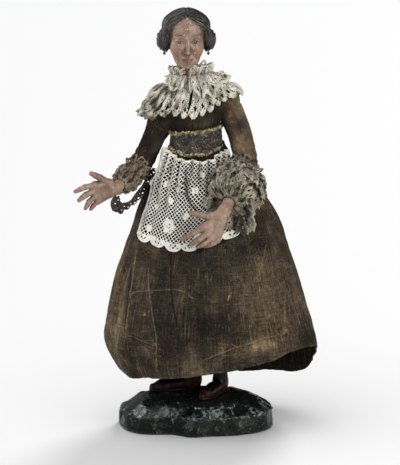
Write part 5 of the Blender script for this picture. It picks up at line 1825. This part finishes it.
def build_hand(side):
    arm, hand = ARMS[side], {k: [np.array(v, float) for v in vs[:3]] + [vs[3]] for k, vs in HANDS[side].items()}
    end, way, up, across = arm_frame(arm)
    wrist = np.array(arm["wrist"], float)
    start = end + way * 0.5
    fingers = ["index", "middle", "ring", "little"]
    k0, k3 = hand["index"][0], hand["little"][0]
    mid = (k0 + k3) / 2
    spread = unit(k0 - k3)
    ahead = unit(mid - wrist)
    back = unit(np.cross(spread, ahead))
    want = np.array([0, -1.0, 0.35]) if side == "left" else np.array([0.1, 0.8, -0.6])
    back = back * np.sign(back @ want)

    def palm(p):
        d = np.full(len(p), 1e9)
        for f in fingers:
            k, r = hand[f][0], hand[f][3]
            d = smin(d, d_cone(p, wrist, k, 4.2, r + 0.75), 2.4)
        heel = wrist + (mid - wrist) * 0.38
        d = smin(d, d_ellipsoid(p, heel - back * 0.8, (5.6, 5.6, 5.6)), 3.0)
        th = hand["thumb"][0]
        d = smin(d, d_cone(p, wrist + (mid - wrist) * 0.12, th, 4.0, 3.7), 2.4)
        d = smin(d, d_cone(p, th, mixv(k0, th, 0.35), 3.2, 2.4), 2.2)
        # the hollow of the palm and the slight ridges of the knuckles
        hollow = wrist + (mid - wrist) * 0.66 - back * 6.4
        d = smax(d, -d_ball(p, hollow, 4.4), 2.6)
        for f in fingers:
            d = smin(d, d_ball(p, hand[f][0] + back * (hand[f][3] * 0.42), hand[f][3] * 0.72), 1.2)
        return d

    def finger(p, f):
        k, m, t, r = hand[f]
        r = r * 0.93
        m1 = k + (m - k) * 0.98
        ts = t - unit(t - m) * r * 0.62
        m2 = mixv(m, ts, 0.52)
        d = d_cone(p, k, m1, r * 1.0, r * 0.9)
        d = smin(d, d_cone(p, m1, m2, r * 0.9, r * 0.82), 0.7)
        d = smin(d, d_cone(p, m2, ts, r * 0.82, r * 0.66), 0.7)
        # joints a little thicker, with a crease
        for c, rr in ((m1, 0.98), (m2, 0.86)):
            d = smin(d, d_ball(p, c + back * r * 0.08, r * rr * 0.98), 0.5)
        way_t = unit(t - m)
        for c in (m1, m2):
            w = (p - c) @ way_t
            d = d + 0.16 * np.exp(-((w / 0.35) ** 2)) * (np.linalg.norm(p - c, axis=1) < r * 1.5)
        # nail
        nb = unit(back - way_t * (back @ way_t))
        sd = np.cross(way_t, nb)
        nc = ts + nb * r * 0.46 - way_t * 0.15
        R = np.stack([way_t, sd, nb], 1)
        d = smin(d, d_ellipsoid(p, nc, (1.55, r * 0.47, r * 0.3), R), 0.15)
        return d

    def func(p):
        d = np.minimum(d_cone(p, start, (start + wrist) / 2, 6.0, 5.3), d_cone(p, (start + wrist) / 2, wrist, 5.3, 4.5))
        d = smax(d, (start - p) @ way, 0.3)
        d = smin(d, palm(p), 2.0)
        for f in ["thumb"] + fingers:
            d = smin(d, finger(p, f), 0.75)
        return d

    pts = np.vstack([start, wrist] + [v for f in hand.values() for v in f[:3]])
    p, q4 = sdf_mesh(func, pts.min(0) - 7, pts.max(0) + 7, 0.6)
    p, q4, _ = keep_largest(p, q4)
    _, n = sdf_normal(func, p, 0.35)
    x, y, z = p.T
    p = p + n * (0.09 * fbm(x / 2.4, y / 2.4, z / 2.4, seed=121, octaves=2))[:, None]
    tip = np.zeros(len(p))
    crease = np.zeros(len(p))
    nail = np.zeros(len(p))
    for f in ["thumb"] + fingers:
        k, m, t, r = hand[f]
        tip = np.maximum(tip, smooth(r * 2.6, r * 0.8, np.linalg.norm(p - t, axis=1)))
        way_t = unit(t - m)
        ts = t - way_t * r * 0.62
        for c in (m, mixv(m, ts, 0.52)):
            w = (p - c) @ way_t
            crease = np.maximum(crease, np.exp(-((w / 0.4) ** 2)) * (np.linalg.norm(p - c, axis=1) < r * 1.5))
        nb = unit(back - way_t * (back @ way_t))
        sd = np.cross(way_t, nb)
        loc = p - (ts + nb * r * 0.46 - way_t * 0.15)
        edge = np.hypot((loc @ way_t) / 1.6, (loc @ sd) / (r * 0.5))
        nail = np.maximum(nail, np.exp(-(((edge - 1) / 0.16) ** 2)) * ((loc @ nb) > 0.0) * (np.linalg.norm(loc, axis=1) < 2.6))
    between = smooth(1.0, -1.0, n @ back * 0 + 0) * 0
    low = smooth(0.15, 0.5, fbm(x / 5, y / 5, z / 5, seed=122))
    cav = np.clip(-(func(p + n * 1.6) - 1.6) / 1.2, 0, 1)
    attrs = dict(rosy=np.clip(0.35 * tip + 0.15, 0, 1), grime=np.clip(0.5 * crease + 0.75 * nail + 0.3 * low + 0.75 * cav, 0, 1), rub=np.clip(0.5 * smooth(0.2, 0.6, noise3(x / 3.5, y / 3.5, z / 3.5, seed=123)), 0, 1))
    o = make_mesh(side + "_hand", p, [q4], HAND_PAINT.mat, attrs, [side + "_hand_and_forearm"])
    print(side, "hand triangles", 2 * len(q4))
    return o


for side in ("right", "left"):
    build_hand(side)


# ------------------------------------------------------------------ earrings
GILT = Mat("gilt", roughness=0.38, metallic=1.0, specular=0.5)
GILT.color(GILT.ramp(GILT.noise(GILT.place(), 900.0, 3.0), [(0.35, rgb(30, 24, 18)), (0.65, rgb(92, 76, 50))]))


def tube(points, radii, sides=10, closed=False):
    """a round bar through the points"""
    P = np.asarray(points, float)
    n = len(P)
    tan = unit(np.roll(P, -1, 0) - np.roll(P, 1, 0)) if closed else unit(np.gradient(P, axis=0))
    ref = np.array([0.13, 0.21, 0.97])
    a = unit(np.cross(tan, ref))
    b = np.cross(tan, a)
    ang = np.linspace(0, 2 * PI, sides, endpoint=False)
    r = np.broadcast_to(np.asarray(radii, float), (n,))
    ring = P[:, None] + r[:, None, None] * (np.cos(ang)[None, :, None] * a[:, None] + np.sin(ang)[None, :, None] * b[:, None])
    co = ring.reshape(-1, 3)
    faces = [grid_faces(n, sides, wrap_u=closed, wrap_v=True, flip=True)]
    if not closed:
        k = np.arange(sides)
        co = np.vstack([co, P[0], P[-1]])
        faces.append(np.stack([n * sides + 0 * k, (k + 1) % sides, k], -1))
        faces.append(np.stack([n * sides + 1 + 0 * k, (n - 1) * sides + k, (n - 1) * sides + (k + 1) % sides], -1))
    return co, faces


def joined(parts):
    co, faces, at = [], [], 0
    for c, fs in parts:
        co.append(c)
        faces += [f + at for f in fs]
        at += len(c)
    return np.vstack(co), faces


def build_earring(name, node, sx):
    x, z, y = HEAD["x"] + sx * 17.9, HEAD["chin"] + 13.2, HEAD["y"] - 6.2
    a = np.linspace(0, 2 * PI, 28, endpoint=False)
    ring = np.stack([x + 0.3 * np.sin(a), y + 1.75 * np.sin(a), z + 2.6 + 1.9 * np.cos(a)], -1)
    h = np.linspace(0, 1, 12)
    prof = np.array([0.18, 0.5, 0.42, 0.8, 1.1, 1.28, 1.3, 1.16, 0.85, 0.45, 0.5, 0.16])
    drop = np.stack([x + 0 * h, y + 0 * h, z + 1.1 - 3.1 * h], -1)
    co, faces = joined([tube(ring, 0.32, 8, True), tube(drop, prof, 14)])
    make_mesh(name, co, faces, GILT.mat, None, [node])


build_earring("right_drop_earring", "right_earring", -1)
build_earring("left_drop_earring", "left_earring", 1)


# ------------------------------------------------------------------ belt
def waist_at(th, z, offset):
    cx, cy, a, b = (through(BODY, z, k) for k in (1, 2, 3, 4))
    c, s = np.cos(th), np.sin(th)
    nx, ny = c / a, s / b
    ln = np.hypot(nx, ny)
    return np.stack([cx + a * c + nx / ln * offset, cy + b * s + ny / ln * offset, z + 0 * th], -1)


def belt_material():
    m = Mat("metal_thread_belt", roughness=0.62, specular=0.4)
    flat = m.attr("cloth", "Vector")
    wriggle = m.noise(flat, 330.0, 1.0, 0.4, 1.4)
    line = m.step(m.math("ABSOLUTE", m.math("SUBTRACT", wriggle, 0.5)), 0.028, 0.01)
    wriggle2 = m.noise(m.scaled(flat, (1, 1, 1), (0.5, 0.2, 0.1)), 420.0, 1.0, 0.4, 1.8)
    line2 = m.step(m.math("ABSOLUTE", m.math("SUBTRACT", wriggle2, 0.52)), 0.026, 0.008)
    thread = m.math("MAXIMUM", line, m.math("MULTIPLY", line2, 0.7))
    worn = m.step(m.noise(flat, 120.0, 3.0), 0.3, 0.55)
    thread = m.math("MULTIPLY", thread, worn)
    ground = m.ramp(m.noise(flat, 260.0, 3.0, 0.65), [(0.32, rgb(10, 8, 8)), (0.68, rgb(36, 29, 27))])
    m.color(m.mix(thread, ground, rgb(152, 139, 118)))
    m.metal(m.math("MULTIPLY", thread, 0.2))
    m.rough(m.mix(thread, (0.8, 0.8, 0.8, 1), (0.42, 0.42, 0.42, 1)))
    ribs = m.wave(flat, 300.0, 0.6, 1.0, "X", 2.0)
    m.normal(m.bump(m.math("ADD", m.math("MULTIPLY", thread, 1.4), m.math("MULTIPLY", ribs, 0.5)), 0.8, 0.0004))
    return m.mat


def braid_material():
    m = Mat("gold_braid", roughness=0.55, specular=0.45, metallic=0.12)
    place = m.place()
    n = m.noise(place, 600.0, 3.0, 0.65)
    spots = m.noise(place, 270.0, 3.0, 0.7)
    mixed = m.math("ADD", m.math("MULTIPLY", n, 0.5), m.math("MULTIPLY", spots, 0.5))
    m.color(m.ramp(mixed, [(0.36, rgb(30, 24, 17)), (0.46, rgb(92, 78, 54)), (0.55, rgb(168, 152, 116)), (0.66, rgb(222, 212, 180))]))
    m.normal(m.bump(m.noise(place, 2200.0, 1.0), 0.5, 0.00015))
    return m.mat


def build_belt():
    nth, nz = 330, 34
    th = np.linspace(0, 2 * PI, nth, endpoint=False)
    t = np.linspace(0, 1, nz)
    T, K = np.meshgrid(th, t, indexing="ij")
    z = mixv(belt_top(T), belt_bottom(T), K) + 0.35 * noise3(T * 5, 1.0, seed=131) * (1 - 2 * K)
    arc = T * 20.0
    relief = 0.28 * np.cos(2 * PI * (z - 228) / 3.6) * 0.6 + 0.22 * fbm(arc / 2.2, z / 1.4, seed=132, octaves=2) + 0.35 * noise3(T * 4, K * 2, seed=133)
    out = waist_at(T, z, 2.35 + relief * smooth(0, 0.06, K) * smooth(1, 0.94, K) - 0.6 * (1 - smooth(0, 0.05, K) * smooth(1, 0.95, K)))
    inn = waist_at(T[:, ::-1], z[:, ::-1], 0.75)
    co = np.concatenate([out, inn[:, ::4]], 1)
    rows = co.shape[1]
    f = grid_faces(nth, rows, wrap_u=True, wrap_v=True, flip=True)
    flat = np.stack([np.concatenate([arc, arc[:, ::-1][:, ::4]], 1), np.concatenate([z, z[:, ::-1][:, ::4]], 1), 0 * co[..., 0]], -1)
    o = make_mesh("woven_belt", co.reshape(-1, 3), [f], belt_material(), dict(cloth=flat.reshape(-1, 3) * MM), ["belt"])
    strands = []
    for edge, seed in ((belt_top, 134), (belt_bottom, 135)):
        n = 420
        a = np.linspace(0, 2 * PI, n, endpoint=False)
        shift = -1.5 if edge is belt_top else 1.4
        zz = edge(a) + shift + 0.5 * noise3(a * 5, 1.0, seed=seed) + 0.45 * noise3(a * 17, 2.0, seed=seed + 1)
        turns = 34
        for k in range(3):
            w = turns * a + 2 * PI * k / 3 + 0.9 * noise3(a * 9, k * 2.0, seed=seed + 2) * smooth(0, 0.3, a) * smooth(2 * PI, 2 * PI - 0.3, a)
            zk = zz + (1.1 + 0.5 * noise3(a * 21, k * 5.0, seed=seed + 5)) * np.sin(w)
            strands.append(tube(waist_at(a, zk, 2.7 + 0.55 * np.sin(2 * w + 0.6) + 0.3 * noise3(a * 26, k, seed=seed)), 0.55 + 0.2 * noise3(a * 30, k * 3.0, seed=seed + 3), 7, True))
    co, faces = joined(strands)
    make_mesh("belt_braids", co, faces, braid_material(), None, ["belt"])
    print("belt triangles", 2 * len(f), sum(2 * len(x) for x in faces))


build_belt()


# ------------------------------------------------------------------ floor, light and camera
def build_stage():
    me = bpy.data.meshes.new("floor")
    s = 40.0
    me.from_pydata([(-s, -s, 0), (s, -s, 0), (s, s, 0), (-s, s, 0)], [], [(0, 1, 2, 3)])
    floor = bpy.data.objects.new("floor", me)
    floor.location.z = -0.0002
    bpy.context.scene.collection.objects.link(floor)
    f = Mat("floor_white", roughness=0.6, specular=0.2)
    f.b.inputs["Base Color"].default_value = (0.86, 0.86, 0.855, 1)
    me.materials.append(f.mat)
    w = bpy.data.worlds.new("studio")
    bpy.context.scene.world = w
    w.use_nodes = True
    nt = w.node_tree
    nt.nodes.clear()
    out = nt.nodes.new("ShaderNodeOutputWorld")
    seen, fill, path, pick = nt.nodes.new("ShaderNodeBackground"), nt.nodes.new("ShaderNodeBackground"), nt.nodes.new("ShaderNodeLightPath"), nt.nodes.new("ShaderNodeMixShader")
    seen.inputs[0].default_value = (1, 1, 1, 1)
    seen.inputs[1].default_value = 0.97
    fill.inputs[0].default_value = (0.96, 0.98, 1.0, 1)
    fill.inputs[1].default_value = 0.2
    nt.links.new(path.outputs["Is Camera Ray"], pick.inputs[0])
    nt.links.new(fill.outputs[0], pick.inputs[1])
    nt.links.new(seen.outputs[0], pick.inputs[2])
    nt.links.new(pick.outputs[0], out.inputs[0])


def lit_only(light, collection):
    light.light_linking.receiver_collection = collection


def area(name, at, aim, size, power, colour=(1, 1, 1)):
    l = bpy.data.lights.new(name, "AREA")
    l.shape = "RECTANGLE"
    l.size, l.size_y = size
    l.energy = power
    l.color = colour
    o = bpy.data.objects.new(name, l)
    o.location = at
    o.rotation_mode = "QUATERNION"
    o.rotation_quaternion = (Vector(aim) - Vector(at)).to_track_quat("-Z", "Y")
    o.visible_camera = False
    bpy.context.scene.collection.objects.link(o)
    lit_only(o, FIGURE)


def sun(name, way, energy, angle, only, colour=(1, 1, 1)):
    l = bpy.data.lights.new(name, "SUN")
    l.energy = energy
    l.angle = math.radians(angle)
    l.color = colour
    o = bpy.data.objects.new(name, l)
    o.rotation_mode = "QUATERNION"
    o.rotation_quaternion = Vector(way).to_track_quat("-Z", "Y")
    bpy.context.scene.collection.objects.link(o)
    lit_only(o, only)


def build_camera():
    cam = bpy.data.cameras.new("camera")
    o = bpy.data.objects.new("camera", cam)
    bpy.context.scene.collection.objects.link(o)
    target, distance, up = Vector((0.0025, 0, 0.1616)), 4.0, math.radians(12)
    back = Vector((0, -math.cos(up), math.sin(up)))
    o.location = target + back * distance
    o.rotation_mode = "QUATERNION"
    o.rotation_quaternion = (-back).to_track_quat("-Z", "Y")
    cam.sensor_width = 36
    cam.lens = 36 * distance / 0.3818
    cam.clip_start, cam.clip_end = 0.1, 200
    bpy.context.scene.camera = o


# the floor has lights of its own, so that it stays evenly white however the figure is lit
FIGURE, GROUND = bpy.data.collections.new("figure_lit"), bpy.data.collections.new("ground_lit")
for o in bpy.data.objects:
    if o.type == "MESH" and not o.hide_render:
        FIGURE.objects.link(o)
build_stage()
GROUND.objects.link(bpy.data.objects["floor"])
sun("floor_behind", (-0.66, -1.75, -1.0), 1.86, 22, GROUND)
sun("floor_above", (0.25, 0.3, -1.0), 2.139, 90, GROUND)
sun("figure_top", (0.3, -0.25, -1.0), 1.1, 30, FIGURE)
area("front_right", (1.1, -1.3, 0.9), (0, 0, 0.18), (0.7, 0.9), 26)
area("front_left", (-1.1, -1.3, 0.95), (0, 0, 0.2), (0.5, 0.8), 9)
area("left_side", (-1.3, 0.3, 0.7), (0, 0, 0.2), (0.5, 0.9), 10)
build_camera()
bpy.context.scene.view_settings.view_transform = "Standard"
